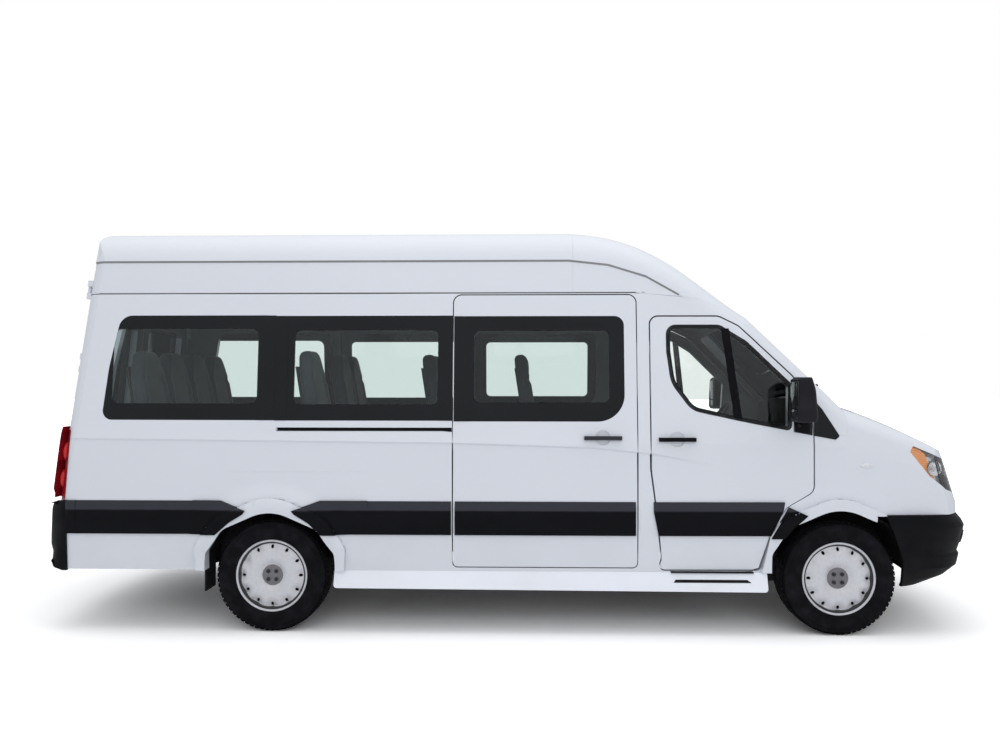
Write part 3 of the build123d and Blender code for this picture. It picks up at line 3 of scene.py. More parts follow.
import json
import math

import bmesh
import bpy
import numpy as np
from bpy.props import FloatProperty, FloatVectorProperty, IntProperty, PointerProperty
from mathutils import Matrix, Vector
from mathutils.bvhtree import BVHTree

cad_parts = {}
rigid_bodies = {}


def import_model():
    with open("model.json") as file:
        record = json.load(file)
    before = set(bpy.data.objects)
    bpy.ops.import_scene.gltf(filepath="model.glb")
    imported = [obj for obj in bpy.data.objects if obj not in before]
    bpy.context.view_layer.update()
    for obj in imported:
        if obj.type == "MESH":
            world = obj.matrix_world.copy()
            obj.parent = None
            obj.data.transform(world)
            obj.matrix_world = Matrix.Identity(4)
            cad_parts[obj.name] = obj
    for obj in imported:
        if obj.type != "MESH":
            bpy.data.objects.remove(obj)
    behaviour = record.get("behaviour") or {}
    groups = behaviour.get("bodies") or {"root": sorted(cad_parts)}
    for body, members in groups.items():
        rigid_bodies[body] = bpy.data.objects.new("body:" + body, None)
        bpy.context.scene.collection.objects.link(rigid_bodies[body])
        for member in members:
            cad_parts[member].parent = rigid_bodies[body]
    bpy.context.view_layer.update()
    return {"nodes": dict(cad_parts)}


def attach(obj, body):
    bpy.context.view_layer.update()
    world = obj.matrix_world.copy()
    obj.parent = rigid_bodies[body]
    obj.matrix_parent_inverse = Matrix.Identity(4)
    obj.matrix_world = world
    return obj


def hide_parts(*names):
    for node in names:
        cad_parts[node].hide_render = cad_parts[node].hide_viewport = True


bl_info = {
    "name": "Minibus finishes",
    "version": (1, 0, 0),
    "blender": (4, 5, 0),
    "location": "View3D > Sidebar > Minibus",
    "description": "Paint, glass, lamps, wheels, seats and stage for the minibus frame",
    "category": "Object",
}

for spare in list(bpy.data.objects):
    bpy.data.objects.remove(spare, do_unlink=True)
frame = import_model()
NODES = frame["nodes"]

X, Y, Z = Vector((1.0, 0.0, 0.0)), Vector((0.0, 1.0, 0.0)), Vector((0.0, 0.0, 1.0))
SIDES = {"right": -1.0, "left": 1.0}
AXLES = {"front": 2.080, "rear": -1.490}
WHEEL_Y = 0.862
WHEEL_Z = 0.356
ROOF_SEAM_Z = 2.155
# Where the side walls meet the rear bumper's corners.
REAR_EDGE_X = -2.80
# The crease along the body's sides, as (x, z), and the one along the foot of the roof.
BELT_LINE = [(REAR_EDGE_X, 1.226), (-0.33, 1.200), (0.54, 1.173), (0.92, 1.135), (1.30, 1.069), (1.40, 1.058)]
ROOF_LINE = [(REAR_EDGE_X, 2.363), (0.40, 2.363), (0.65, 2.335), (0.888, 2.261), (1.154, 2.110),
             (1.373, 1.955)]


# ---------------- settings
class MinibusColours(bpy.types.PropertyGroup):
    paint: FloatVectorProperty(
        name="Paint", description="Body paint", subtype="COLOR", size=3, min=0.0, max=1.0,
        default=(0.70, 0.728, 0.79))
    plastic: FloatVectorProperty(
        name="Plastic", description="Bumpers and side strips", subtype="COLOR", size=3, min=0.0, max=1.0,
        default=(0.0042, 0.0044, 0.0060))
    tint: FloatVectorProperty(
        name="Window tint", description="Light let through each face of the saloon glass", subtype="COLOR",
        size=3, min=0.0, max=1.0, default=(0.90, 0.94, 0.93))
    seat: FloatVectorProperty(
        name="Seat cloth", description="Main colour of the seat covers", subtype="COLOR", size=3,
        min=0.0, max=1.0, default=(0.075, 0.085, 0.095))


class MinibusSizes(bpy.types.PropertyGroup):
    belt_step: FloatProperty(
        name="Belt step", description="Height of the crease along the sides", default=0.0045, min=0.0,
        max=0.01, unit="LENGTH")
    flare: FloatProperty(
        name="Rear flare", description="How far the swelling over the rear arches stands out",
        default=0.022, min=0.0, max=0.03, unit="LENGTH")
    cover_holes: IntProperty(
        name="Cover holes", description="Holes round each wheel cover", default=12, min=6, max=20)
    tread_blocks: IntProperty(
        name="Tread blocks", description="Blocks round each shoulder of a tyre", default=64, min=24, max=96)


def colours():
    return bpy.context.scene.minibus_colours


def sizes():
    return bpy.context.scene.minibus_sizes


# ---------------- shader helpers
class Shader:
    """The node tree of one material or of the world, with short ways to add and join nodes."""

    def __init__(self, name, library=None):
        self.owner = (bpy.data.materials if library is None else library).new(name)
        self.owner.use_nodes = True
        self.tree = self.owner.node_tree
        self.tree.nodes.clear()
        self.places = self.add("ShaderNodeTexCoord").outputs
        self.place = self.places["Object"]

    def add(self, kind, inputs=None, **settings):
        node = self.tree.nodes.new(kind)
        for key, value in settings.items():
            setattr(node, key, value)
        for key, value in (inputs or {}).items():
            self.feed(node.inputs[key], value)
        return node

    def feed(self, socket, value):
        if isinstance(value, bpy.types.NodeSocket):
            self.tree.links.new(value, socket)
        elif socket.type == "RGBA" and len(value) == 3:
            socket.default_value = (*value, 1.0)
        else:
            socket.default_value = value

    def math(self, operation, a, b=0.0, c=0.0):
        return self.add("ShaderNodeMath", {0: a, 1: b, 2: c}, operation=operation).outputs[0]

    def axes(self, of=None):
        return self.add("ShaderNodeSeparateXYZ", {0: of or self.place}).outputs[:3]

    def stretched(self, scale):
        return self.add("ShaderNodeMapping", {"Vector": self.place, "Scale": scale}).outputs[0]

    def noise(self, scale, detail=2.0, at=None):
        return self.add("ShaderNodeTexNoise", {
            "Vector": at or self.place, "Scale": scale, "Detail": detail, "Roughness": 0.5}).outputs["Fac"]

    def cells(self, scale):
        return self.add("ShaderNodeTexVoronoi", {"Vector": self.place, "Scale": scale}).outputs["Distance"]

    def span(self, value, low, high, to_low=0.0, to_high=1.0):
        return self.add("ShaderNodeMapRange", {0: value, 1: low, 2: high, 3: to_low, 4: to_high}).outputs[0]

    def vary(self, scale, detail, to_low=0.0, to_high=1.0, low=0.3, high=0.7, at=None):
        """Noise spread over a range."""
        return self.span(self.noise(scale, detail, at), low, high, to_low, to_high)

    def mix(self, factor, a, b):
        return self.add("ShaderNodeMix", {0: factor, 6: a, 7: b}, data_type="RGBA").outputs[2]

    def bump(self, height, strength, distance):
        node = self.add("ShaderNodeBump", {"Height": height, "Strength": strength, "Distance": distance})
        return node.outputs["Normal"]

    def principled(self, **inputs):
        names = {key.replace("_", " ").title().replace("Ior", "IOR"): value for key, value in inputs.items()}
        return self.add("ShaderNodeBsdfPrincipled", names).outputs[0]

    def blend(self, factor, a, b):
        return self.add("ShaderNodeMixShader", {0: factor, 1: a, 2: b}).outputs[0]

    def seen(self):
        """1 for what the camera sees, straight or through glass."""
        rays = self.add("ShaderNodeLightPath").outputs
        return self.math("MAXIMUM", rays["Is Camera Ray"], rays["Is Transmission Ray"])

    def rounded_box(self, u, v, box):
        """Signed distance to a rounded rectangle: (middle u, middle v, half u, half v, corner)."""
        mid_u, mid_v, half_u, half_v, corner = box
        du, dv = (self.math("SUBTRACT", self.math("ABSOLUTE", self.math("SUBTRACT", at, mid)), half - corner)
                  for at, mid, half in ((u, mid_u, half_u), (v, mid_v, half_v)))
        far_u = self.math("MAXIMUM", du, 0.0)
        far_v = self.math("MAXIMUM", dv, 0.0)
        reach = self.math("MULTIPLY_ADD", far_u, far_u, self.math("MULTIPLY", far_v, far_v))
        inside = self.math("MINIMUM", self.math("MAXIMUM", du, dv), 0.0)
        return self.math("SUBTRACT", self.math("ADD", self.math("SQRT", reach), inside), corner)

    def done(self, surface, output="ShaderNodeOutputMaterial"):
        self.add(output, {"Surface": surface})
        return self.owner


def faded(colour, share):
    return tuple(channel * share for channel in colour)


FRIT = (0.005, 0.006, 0.0075)
CABIN_TINT = (0.955, 0.975, 0.965)


def finish_paint(name="white_paint", lift=1.0):
    """White paint under clear lacquer, with a slow drift of tone and road film near the ground."""
    s = Shader(name)
    # a lift above 1 gives a lighter copy of the paint, a painted highlight
    colour = faded(tuple(colours().paint), lift)
    film = s.math("MULTIPLY", s.span(s.axes()[2], 0.85, 0.30), s.vary(3.5, 5.0, low=0.35, high=0.75))
    tone = s.mix(s.vary(0.8, 1.0, low=0.25, high=0.75), faded(colour, 0.99), faded(colour, 1.01))
    tone = s.mix(s.math("MULTIPLY", film, 0.16), tone, (0.52, 0.50, 0.47))
    shine = s.vary(1.1, 1.0, 0.27, 0.30, 0.2, 0.8)
    peel = s.bump(s.noise(160.0, 1.0), 0.05, 0.0006)
    return s.done(s.principled(
        base_color=tone, roughness=shine, normal=peel, coat_weight=0.55, coat_roughness=0.09, coat_ior=1.5))


def pebbled(s, tone, smooth, rough, grain=520.0):
    """The material for plastic with a fine pebbled grain."""
    pebble = s.bump(s.cells(grain), 0.25, 0.0006)
    return s.done(s.principled(
        base_color=tone, roughness=s.vary(9.0, 3.0, smooth, rough), normal=pebble, specular_ior_level=0.09))


def finish_plastic(name="black_plastic", colour=None, shine=0.52, grain=520.0):
    """Moulded plastic with faint streaks and dust that gathers low down."""
    s = Shader(name)
    colour = colour or tuple(colours().plastic)
    streak = s.vary(6.0, 4.0, low=0.3, high=0.75, at=s.stretched((0.5, 0.5, 2.2)))
    tone = s.mix(streak, faded(colour, 0.8), faded(colour, 1.35))
    low_down = s.span(s.axes()[2], 0.75, 0.25, 0.0, 0.05)
    tone = s.mix(s.math("MULTIPLY", low_down, s.vary(5.0, 4.0, low=0.35)), tone, (0.30, 0.28, 0.25))
    return pebbled(s, tone, shine - 0.06, shine + 0.08, grain)


def finish_strip():
    """Side strips: grained plastic, its sloping top face painted lighter and bluer, a painted highlight from
    the light above.
    """
    s = Shader("strip_plastic")
    dark = tuple(colours().plastic)
    # painted highlight: the strips' faces above about z = 0.78 are coloured lighter and bluer than the rest
    painted_top_highlight = s.span(s.math("MULTIPLY_ADD", s.noise(14.0), 0.004, s.axes()[2]), 0.775, 0.786)
    streak = s.vary(5.0, 3.0, at=s.stretched((0.4, 0.4, 2.0)))
    tone = s.mix(painted_top_highlight, s.mix(streak, faded(dark, 0.9), faded(dark, 1.25)), (0.040, 0.042, 0.052))
    return pebbled(s, tone, 0.48, 0.6)


def black_print(s, colour, deep):
    """Smooth black print, faintly smeared."""
    printed = s.mix(s.vary(1.2, 3.0), colour, deep)
    return s.principled(base_color=printed, roughness=s.vary(5.0, 4.0, 0.08, 0.17), specular_ior_level=0.28)


def finish_gloss_black():
    """Smooth black plastic round the windows."""
    s = Shader("gloss_black")
    return s.done(black_print(s, FRIT, (0.0075, 0.009, 0.011)))


def finish_rubber():
    """Tyre rubber, greyer where it is scuffed."""
    s = Shader("tyre_rubber")
    colour = (0.0052, 0.0052, 0.0066)
    tone = s.mix(s.vary(14.0, 5.0, low=0.42, high=0.75), colour, faded(colour, 2.4))
    fine = s.bump(s.noise(420.0), 0.25, 0.0007)
    return s.done(s.principled(
        base_color=tone, roughness=s.vary(30.0, 3.0, 0.58, 0.74), normal=fine, specular_ior_level=0.07))


def finish_metal(name, colour, rough, metallic=1.0, dirt=0.15, dirt_colour=(0.10, 0.09, 0.08)):
    """Metal or metallic paint with fine scratches and a little dirt."""
    s = Shader(name)
    mottled = s.mix(s.vary(60.0, 4.0), faded(colour, 0.95), faded(colour, 1.03))
    soiled = s.math("MULTIPLY", s.vary(22.0, 6.0, low=0.45, high=0.8), dirt)
    shine = s.vary(60.0, 4.0, rough - 0.05, rough + 0.08, at=s.stretched((1.0, 1.0, 0.3)))
    fine = s.bump(s.noise(300.0), 0.08, 0.0004)
    return s.done(s.principled(
        base_color=s.mix(soiled, mottled, dirt_colour), metallic=metallic, roughness=shine, normal=fine))


def finish_under():
    """Chassis steel: dark wax with rust specks and grey road dirt."""
    s = Shader("under_steel")
    rust = s.vary(18.0, 6.0, low=0.56, high=0.72)
    tone = s.mix(s.vary(4.0, 4.0), (0.022, 0.022, 0.023), (0.060, 0.056, 0.052))
    tone = s.mix(s.math("MULTIPLY", rust, 0.35), tone, (0.12, 0.055, 0.03))
    lumps = s.bump(s.noise(70.0, 4.0), 0.3, 0.002)
    return s.done(s.principled(base_color=tone, roughness=s.span(rust, 0.0, 1.0, 0.55, 0.85), normal=lumps))


def clear_pane(s, tint, gloss, gloss_colour, ior, wash=None):
    """A see-through sheet with its mirror image on top."""
    clear = s.add("ShaderNodeBsdfTransparent", {"Color": tint}).outputs[0]
    shine = s.add("ShaderNodeBsdfGlossy", {"Color": gloss_colour, "Roughness": gloss}).outputs[0]
    mirror = s.add("ShaderNodeFresnel", {"IOR": ior}).outputs[0]
    return s.blend(s.math("ADD", mirror, wash) if wash else mirror, clear, shine)


def finish_glass(name, tint, boxes, across=False):
    """Window glass: see-through inside the rounded boxes, black print round them. The boxes stand along the
    vehicle, or across it and the same on both halves."""
    s = Shader(name)
    x, y, z = s.axes()
    u = s.math("ABSOLUTE", y) if across else x
    hue = s.mix(s.vary(2.5, 3.0, 0.985, 1.0), faded(tint, 0.9), tint)
    pane = clear_pane(s, hue, 0.03, (0.95, 0.97, 1.0), 1.42)
    if not boxes:
        return s.done(pane)
    gap = s.rounded_box(u, z, boxes[0])
    for box in boxes[1:]:
        gap = s.math("MINIMUM", gap, s.rounded_box(u, z, box))
    return s.done(s.blend(s.span(gap, -0.001, 0.004), pane, black_print(s, FRIT, faded(FRIT, 1.5))))


def finish_lens():
    """A lamp's clear cover."""
    s = Shader("lamp_lens")
    wash = s.vary(8.0, 3.0, 0.0, 0.04)
    return s.done(clear_pane(s, (0.97, 0.98, 0.985), 0.04, (1.0, 1.0, 1.0), 1.45, wash))


def finish_coloured_lens(name, colour, deep, pitch=95.0):
    """Coloured lamp plastic with moulded ribs behind its smooth skin."""
    s = Shader(name)
    ribs = s.math("SINE", s.math("MULTIPLY", s.axes()[2], pitch * 2.0 * math.pi))
    tone = s.mix(s.span(ribs, -0.7, 0.9), deep, colour)
    tone = s.mix(s.vary(30.0, 2.0, 0.0, 0.35), tone, deep)
    return s.done(s.principled(
        base_color=tone, roughness=0.24, normal=s.bump(ribs, 0.35, 0.0012), coat_weight=0.3,
        coat_roughness=0.05, specular_ior_level=0.25, emission_color=tone, emission_strength=0.07))


def finish_lamp_bowl():
    """Bright moulded shell of a headlamp, its rear third under amber plastic."""
    s = Shader("lamp_bowl")
    x, _, z = s.axes()
    amber = s.span(s.math("ADD", x, s.math("MULTIPLY", z, 0.35)), 3.036, 3.030)
    ribs = s.math("SINE", s.math("MULTIPLY", z, 520.0))
    crest = s.span(ribs, -0.8, 0.8)
    tone = s.mix(crest, (0.72, 0.73, 0.74), (0.90, 0.91, 0.92))
    orange = s.mix(crest, (0.80, 0.27, 0.05), (0.98, 0.42, 0.10))
    relief = s.bump(ribs, 0.3, 0.001)
    bright = s.principled(base_color=tone, metallic=0.85, roughness=0.22, normal=relief)
    glow = s.principled(
        base_color=orange, roughness=0.25, normal=relief, emission_color=orange, emission_strength=0.18)
    return s.done(s.blend(amber, bright, glow))


def finish_cloth():
    """Woven seat cloth with a fine check and soft sheen."""
    s = Shader("seat_cloth")
    colour = tuple(colours().seat)
    threads = {"Vector": s.place, "Scale": 210.0, "Distortion": 0.6}
    warp, weft = (s.add("ShaderNodeTexWave", threads, bands_direction=way).outputs["Fac"] for way in "YZ")
    weave = s.math("MULTIPLY", warp, weft)
    tone = s.mix(weave, faded(colour, 0.65), faded(colour, 1.25))
    tone = s.mix(s.math("MULTIPLY", s.vary(3.0, 4.0, low=0.35), 0.35), tone, faded(colour, 1.7))
    return s.done(s.principled(
        base_color=tone, roughness=0.9, normal=s.bump(weave, 0.5, 0.0008), sheen_weight=0.35,
        sheen_roughness=0.45))


def finish_lining(name="lining", colour=(0.26, 0.265, 0.27), grain=260.0):
    """Grained inner lining of the walls, roof and dashboard."""
    s = Shader(name)
    tone = s.mix(s.vary(3.0, 4.0), faded(colour, 0.88), faded(colour, 1.08))
    hide = s.bump(s.cells(grain), 0.35, 0.0008)
    return s.done(s.principled(base_color=tone, roughness=s.vary(12.0, 2.0, 0.62, 0.78), normal=hide))


def finish_floor_pan():
    """Speckled vinyl on top of the floor, dark wax below it."""
    s = Shader("floor_vinyl")
    facing = s.axes(s.add("ShaderNodeNewGeometry").outputs["Normal"])[2]
    vinyl = s.mix(s.span(s.cells(240.0), 0.0, 0.35), (0.20, 0.205, 0.21), (0.10, 0.105, 0.11))
    wax = s.mix(s.vary(5.0, 5.0), (0.02, 0.02, 0.02), (0.06, 0.056, 0.05))
    tone = s.mix(s.span(facing, 0.4, 0.6), wax, vinyl)
    return s.done(s.principled(base_color=tone, roughness=0.6, normal=s.bump(s.noise(120.0), 0.2, 0.001)))


def finish_plate():
    """Blank number plate: pale reflective sheet with a fine honeycomb."""
    s = Shader("plate_sheet")
    comb = s.span(s.cells(330.0), 0.05, 0.35)
    tone = s.mix(comb, (0.70, 0.71, 0.70), (0.80, 0.81, 0.80))
    return s.done(s.principled(
        base_color=tone, roughness=0.32, normal=s.bump(comb, 0.15, 0.0004), coat_weight=0.3,
        coat_roughness=0.1))


# Each finish: the function that makes it, and what it is given.
FINISHES = {
    "paint": (finish_paint,),
    "plastic": (finish_plastic,),
    "trim": (finish_plastic, "trim_plastic", (0.016, 0.016, 0.019), 0.55, 420.0),
    "strip": (finish_strip,),
    # sill boards: the body paint made 1.22 times lighter, a painted highlight
    "sill_paint": (finish_paint, "sill_paint", 1.22),
    "hub": (finish_metal, "hub_grey", (0.20, 0.195, 0.21), 0.42, 0.4, 0.15),
    "gloss_black": (finish_gloss_black,),
    "rubber": (finish_rubber,),
    "cover": (finish_metal, "cover_silver", (0.70, 0.705, 0.74), 0.34, 0.5, 0.06),
    "rim": (finish_metal, "rim_steel", (0.05, 0.05, 0.052), 0.5, 0.4, 0.3),
    "nut": (finish_metal, "nut_steel", (0.030, 0.030, 0.034), 0.45, 0.5, 0.2),
    "chrome": (finish_metal, "lamp_chrome", (0.86, 0.87, 0.88), 0.10, 1.0, 0.02),
    "mirror": (finish_metal, "mirror_glass", (0.16, 0.17, 0.18), 0.06, 1.0, 0.01),
    "cast": (finish_metal, "cast_steel", (0.16, 0.15, 0.14), 0.55, 0.7, 0.5),
    "alloy": (finish_metal, "grey_alloy", (0.42, 0.42, 0.43), 0.45, 0.9, 0.3),
    "pipe": (finish_metal, "pipe_steel", (0.40, 0.37, 0.34), 0.42, 0.9, 0.5, (0.13, 0.07, 0.04)),
    "under": (finish_under,),
    "cloth": (finish_cloth,),
    "lining": (finish_lining,),
    "dash": (finish_lining, "dash_plastic", (0.055, 0.057, 0.062), 300.0),
    "vinyl": (finish_floor_pan,),
    "plate": (finish_plate,),
    "red": (finish_coloured_lens, "red_lens", (0.36, 0.010, 0.018), (0.13, 0.004, 0.008)),
    "bright_red": (finish_coloured_lens, "bright_red_lens", (0.74, 0.03, 0.03), (0.45, 0.014, 0.016), 140.0),
    "lamp_bowl": (finish_lamp_bowl,),
    "bulb": (finish_coloured_lens, "lamp_glass", (0.92, 0.93, 0.95), (0.55, 0.57, 0.6), 160.0),
    "lens": (finish_lens,),
}
MATERIALS = {}


def finish(key):
    """The named finish, made the first time it is asked for."""
    if key not in MATERIALS:
        make, *given = FINISHES[key]
        MATERIALS[key] = make(*given)
    return MATERIALS[key]


# ---------------- mesh helpers
def placed(name, shape, body, materials, node=None):
    """Links a mesh or bmesh as a piece that rides on a body, in the place of a CAD node if one is given."""
    mesh = from_bmesh(name, shape) if isinstance(shape, bmesh.types.BMesh) else shape
    several = isinstance(materials, list)
    choice = [face.material_index for face in mesh.polygons]
    mesh.materials.clear()
    for key in materials if several else [materials]:
        mesh.materials.append(finish(key))
    if several:
        mesh.polygons.foreach_set("material_index", choice)
    piece = bpy.data.objects.new(name, mesh)
    bpy.context.scene.collection.objects.link(piece)
    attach(piece, body)
    if node:
        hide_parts(node)
    return piece


def soften(mesh, angle=35.0):
    """Smooth shading, kept crisp along edges sharper than the angle."""
    for layer in ("custom_normal", "sharp_edge", "sharp_face"):
        if layer in mesh.attributes:
            mesh.attributes.remove(mesh.attributes[layer])
    mesh.shade_smooth()
    mesh.set_sharp_from_angle(angle=math.radians(angle))
    return mesh


def from_bmesh(name, bm, angle=35.0):
    """A finished mesh from a bmesh, which goes."""
    mesh = bpy.data.meshes.new(name)
    bm.to_mesh(mesh)
    bm.free()
    return soften(mesh, angle)


def merged(node):
    """A bmesh of a CAD node with its triangles joined up."""
    bm = bmesh.new()
    bm.from_mesh(NODES[node].data)
    bmesh.ops.remove_doubles(bm, verts=bm.verts, dist=1e-5)
    bm.normal_update()
    return bm


def without(bm, verts):
    bmesh.ops.delete(bm, geom=verts, context="VERTS")


def dress(node, look):
    """Gives a CAD node its finish."""
    materials = NODES[node].data.materials
    materials.clear()
    materials.append(finish(look) if isinstance(look, str) else look)


def lathe(profile, steps=96, closed=True):
    """A solid of revolution about Y from (radius, y) pairs; points on the axis become poles."""
    bm = bmesh.new()
    turns = [2 * math.pi * k / steps for k in range(steps)]
    rings = []
    for radius, out in profile:
        spots = [(radius * math.cos(a), out, radius * math.sin(a)) for a in turns]
        rings.append([bm.verts.new(spot) for spot in (spots if radius > 1e-6 else [(0.0, out, 0.0)])])
    pairs = list(zip(rings, rings[1:]))
    if closed and len(rings[0]) > 1 and len(rings[-1]) > 1:
        pairs.append((rings[-1], rings[0]))
    for near, far in pairs:
        for k in range(steps):
            quad = [ring[i % len(ring)] for ring, i in ((near, k), (near, k + 1), (far, k + 1), (far, k))]
            corners = [v for i, v in enumerate(quad) if v not in quad[:i]]
            if len(corners) > 2:
                bm.faces.new(corners)
    bmesh.ops.recalc_face_normals(bm, faces=bm.faces)
    return bm


def boxes(*parts):
    """Boxes with rounded edges, each as (low corner, high corner, bevel)."""
    bm = bmesh.new()
    for low, high, bevel in parts:
        low, high = Vector(low), Vector(high)
        place = Matrix.Translation((low + high) / 2) @ Matrix.Diagonal((*(high - low), 1.0))
        made = bmesh.ops.create_cube(bm, size=1.0, matrix=place)
        if bevel:
            edges = list({edge for vert in made["verts"] for edge in vert.link_edges})
            bmesh.ops.bevel(bm, geom=edges, offset=bevel, segments=2, profile=0.5, affect="EDGES")
    return bm


def on_side(side, low, high):
    """A span of y on one side of the vehicle, from two distances off its middle."""
    return sorted((SIDES[side] * low, SIDES[side] * high))


def wheel_matrix(end, side):
    """Where a wheel stands, its outer face turned outwards."""
    turn = Matrix.Rotation(0.0 if SIDES[side] > 0 else math.pi, 4, "Z")
    return Matrix.Translation((AXLES[end], SIDES[side] * WHEEL_Y, WHEEL_Z)) @ turn


def skin_tree(*names):
    """Something to throw rays at: the faces of the named pieces or CAD nodes."""
    points, faces = [], []
    for name in names:
        mesh = (bpy.data.objects[name] if name in bpy.data.objects else NODES[name]).data
        base = len(points)
        points += [vert.co.copy() for vert in mesh.vertices]
        faces += [[base + i for i in face.vertices] for face in mesh.polygons]
    return BVHTree.FromPolygons(points, faces)


def rounded(corners, steps=5):
    """An outline's points with its corners rounded. Columns: u, v, corner radius."""
    points = []
    for index, (u, v, radius) in enumerate(corners):
        here = Vector((u, v))
        a = (Vector(corners[index - 1][:2]) - here).normalized()
        b = (Vector(corners[(index + 1) % len(corners)][:2]) - here).normalized()
        if radius <= 0:
            points.append(here)
            continue
        half = a.angle(b) / 2
        run = radius / math.tan(half)
        centre = here + (a + b).normalized() * (radius / math.sin(half))
        first, last = here + a * run - centre, here + b * run - centre
        sweep = math.atan2(first.x * last.y - first.y * last.x, first.dot(last))
        for k in range(steps + 1):
            c, s = math.cos(sweep * k / steps), math.sin(sweep * k / steps)
            points.append(centre + Vector((first.x * c - first.y * s, first.x * s + first.y * c)))
    return points


def oval(mid_u, mid_v, half_u, half_v):
    """An oval's outline in 32 points."""
    angles = np.linspace(0, 2 * math.pi, 33)[:-1]
    return [(mid_u + half_u * math.cos(a), mid_v + half_v * math.sin(a)) for a in angles]


def rectangle(low_u, high_u, low_v, high_v):
    return [(low_u, low_v), (high_u, low_v), (high_u, high_v), (low_u, high_v)]


def everything(bm):
    return bm.verts[:] + bm.edges[:] + bm.faces[:]


def stepped(low, high, step):
    """Values from low in equal steps, short of high."""
    values = []
    while low < high:
        values.append(low)
        low += step
    return values


def skin_patch(outline, tree, toward, lift, depth, step=0.05, crown=0.0, hole=None, straight=False):
    """A thin plate that follows a surface. The outline is seen along the axis-aligned direction toward;
    its outer face stands lift proud of the surface and is crowned towards its middle. With a hole, an
    outline of as many points, the plate is the band between the two."""
    axis = max(range(3), key=lambda i: abs(toward[i]))
    u_axis, v_axis = [i for i in range(3) if i != axis]
    bm = bmesh.new()
    loops = []
    for points in (outline, hole or []):
        loops.append([])
        for point in points:
            place = [0.0, 0.0, 0.0]
            place[u_axis], place[v_axis] = point
            loops[-1].append(bm.verts.new(place))
    verts, inner = loops
    if inner:
        for k in range(len(verts)):
            bm.faces.new([verts[k - 1], verts[k], inner[k], inner[k - 1]])
    else:
        bm.faces.new(verts)
    for which in (u_axis, v_axis):
        normal = (X, Y, Z)[which]
        values = [vert.co[which] for vert in bm.verts]
        for spot in stepped(min(values) + step, max(values), step):
            bmesh.ops.bisect_plane(bm, geom=everything(bm), plane_co=normal * spot, plane_no=normal)
    middle = sum((v.co for v in bm.verts), Vector()) / len(bm.verts)
    reach = max((v.co - middle).length for v in bm.verts)
    rim = {vert for edge in bm.edges if edge.is_boundary for vert in edge.verts}
    direction = Vector(toward).normalized()
    backs = {}
    for vert in list(bm.verts):
        start = vert.co - direction * 6.0
        start[axis] = -direction[axis] * 6.0
        hit, normal, _, _ = tree.ray_cast(start, direction)
        if hit is None:
            hit, normal = vert.co.copy(), -direction
            hit[axis] = tree.find_nearest(vert.co - direction)[0][axis]
        if straight:
            normal = -direction
        elif normal.dot(direction) > 0:
            normal = -normal
        raise_by = lift
        if crown and vert not in rim:
            raise_by += crown * (1.0 - min(1.0, (vert.co - middle).length / reach) ** 2)
        vert.co = hit + normal * raise_by
        backs[vert] = hit - normal * (depth - lift)
    bmesh.ops.recalc_face_normals(bm, faces=bm.faces)
    faces = list(bm.faces)
    if sum(face.normal.dot(direction) * face.calc_area() for face in faces) > 0:
        bmesh.ops.reverse_faces(bm, faces=faces)
    copies = {vert: bm.verts.new(backs[vert]) for vert in list(backs)}
    for face in faces:
        bm.faces.new([copies[v] for v in reversed(face.verts)])
    for edge in [e for e in bm.edges if e.is_boundary and e.verts[0] in copies and e.verts[1] in copies]:
        loop = edge.link_loops[0]
        first, second = loop.vert, loop.link_loop_next.vert
        bm.faces.new([second, first, copies[first], copies[second]])
    return bm


def joined(parts):
    """One bmesh from several."""
    whole = bmesh.new()
    for part in parts:
        mesh = bpy.data.meshes.new("part")
        part.to_mesh(mesh)
        part.free()
        whole.from_mesh(mesh)
        bpy.data.meshes.remove(mesh)
    return whole


def inset(points, gap):
    """The same outline drawn smaller by a gap, point for point."""
    count = len(points)
    area = sum(points[k - 1][0] * points[k][1] - points[k][0] * points[k - 1][1] for k in range(count))
    turn = 1.0 if area > 0 else -1.0
    out = []
    for k, point in enumerate(points):
        sides = (point - points[k - 1]).normalized(), (points[(k + 1) % count] - point).normalized()
        inward_a, inward_b = (Vector((-way.y, way.x)) * turn for way in sides)
        mid = (inward_a + inward_b).normalized()
        out.append(point + mid * (gap / max(0.5, mid.dot(inward_a))))
    return out


def spaced(points, step=0.06):
    """The outline with extra points, so that no side is longer than the step."""
    out = []
    for k, point in enumerate(points):
        before = points[k - 1]
        count = max(1, math.ceil((point - before).length / step))
        out += [before.lerp(point, (i + 1) / count) for i in range(count)]
    return out


def rounded_block(low, high, radius, cuts=8):
    """A closed block of small faces with well rounded edges, ready to be worked by hand."""
    bm = bmesh.new()
    bmesh.ops.create_cube(bm, size=2.0)
    bmesh.ops.subdivide_edges(bm, edges=bm.edges[:], cuts=cuts, use_grid_fill=True)
    centre = (Vector(low) + Vector(high)) / 2
    half = (Vector(high) - Vector(low)) / 2
    core = Vector([max(h - radius, 0.0) for h in half])
    for vert in bm.verts:
        full = [math.copysign(abs(c) ** 0.8, c) * h for c, h in zip(vert.co, half)]
        kept = Vector([max(-c, min(c, f)) for c, f in zip(core, full)])
        away = Vector(full) - kept
        if away.length > 1e-9:
            room = half - core
            unit = Vector([a / r if r > 1e-9 else 0.0 for a, r in zip(away, room)]).normalized()
            kept = kept + unit * room
        vert.co = centre + kept
    return bm


# ---------------- body panels
def line_height(line, x):
    return float(np.interp(x, [p[0] for p in line], [p[1] for p in line]))


def cut_at(bm, faces, at, normal):
    """Cuts some of the panel's faces with a plane."""
    geometry = list({v for f in faces for v in f.verts}) + list({e for f in faces for e in f.edges}) + faces
    bmesh.ops.bisect_plane(bm, geom=geometry, plane_co=at, plane_no=normal)


def cut_across(bm, normal, spots, near=None):
    """Cuts the panel square to an axis at each spot, through the faces whose middles near accepts."""
    for spot in spots:
        faces = [f for f in bm.faces if near is None or near(f.calc_center_median())]
        if faces:
            cut_at(bm, faces, normal * spot, normal)


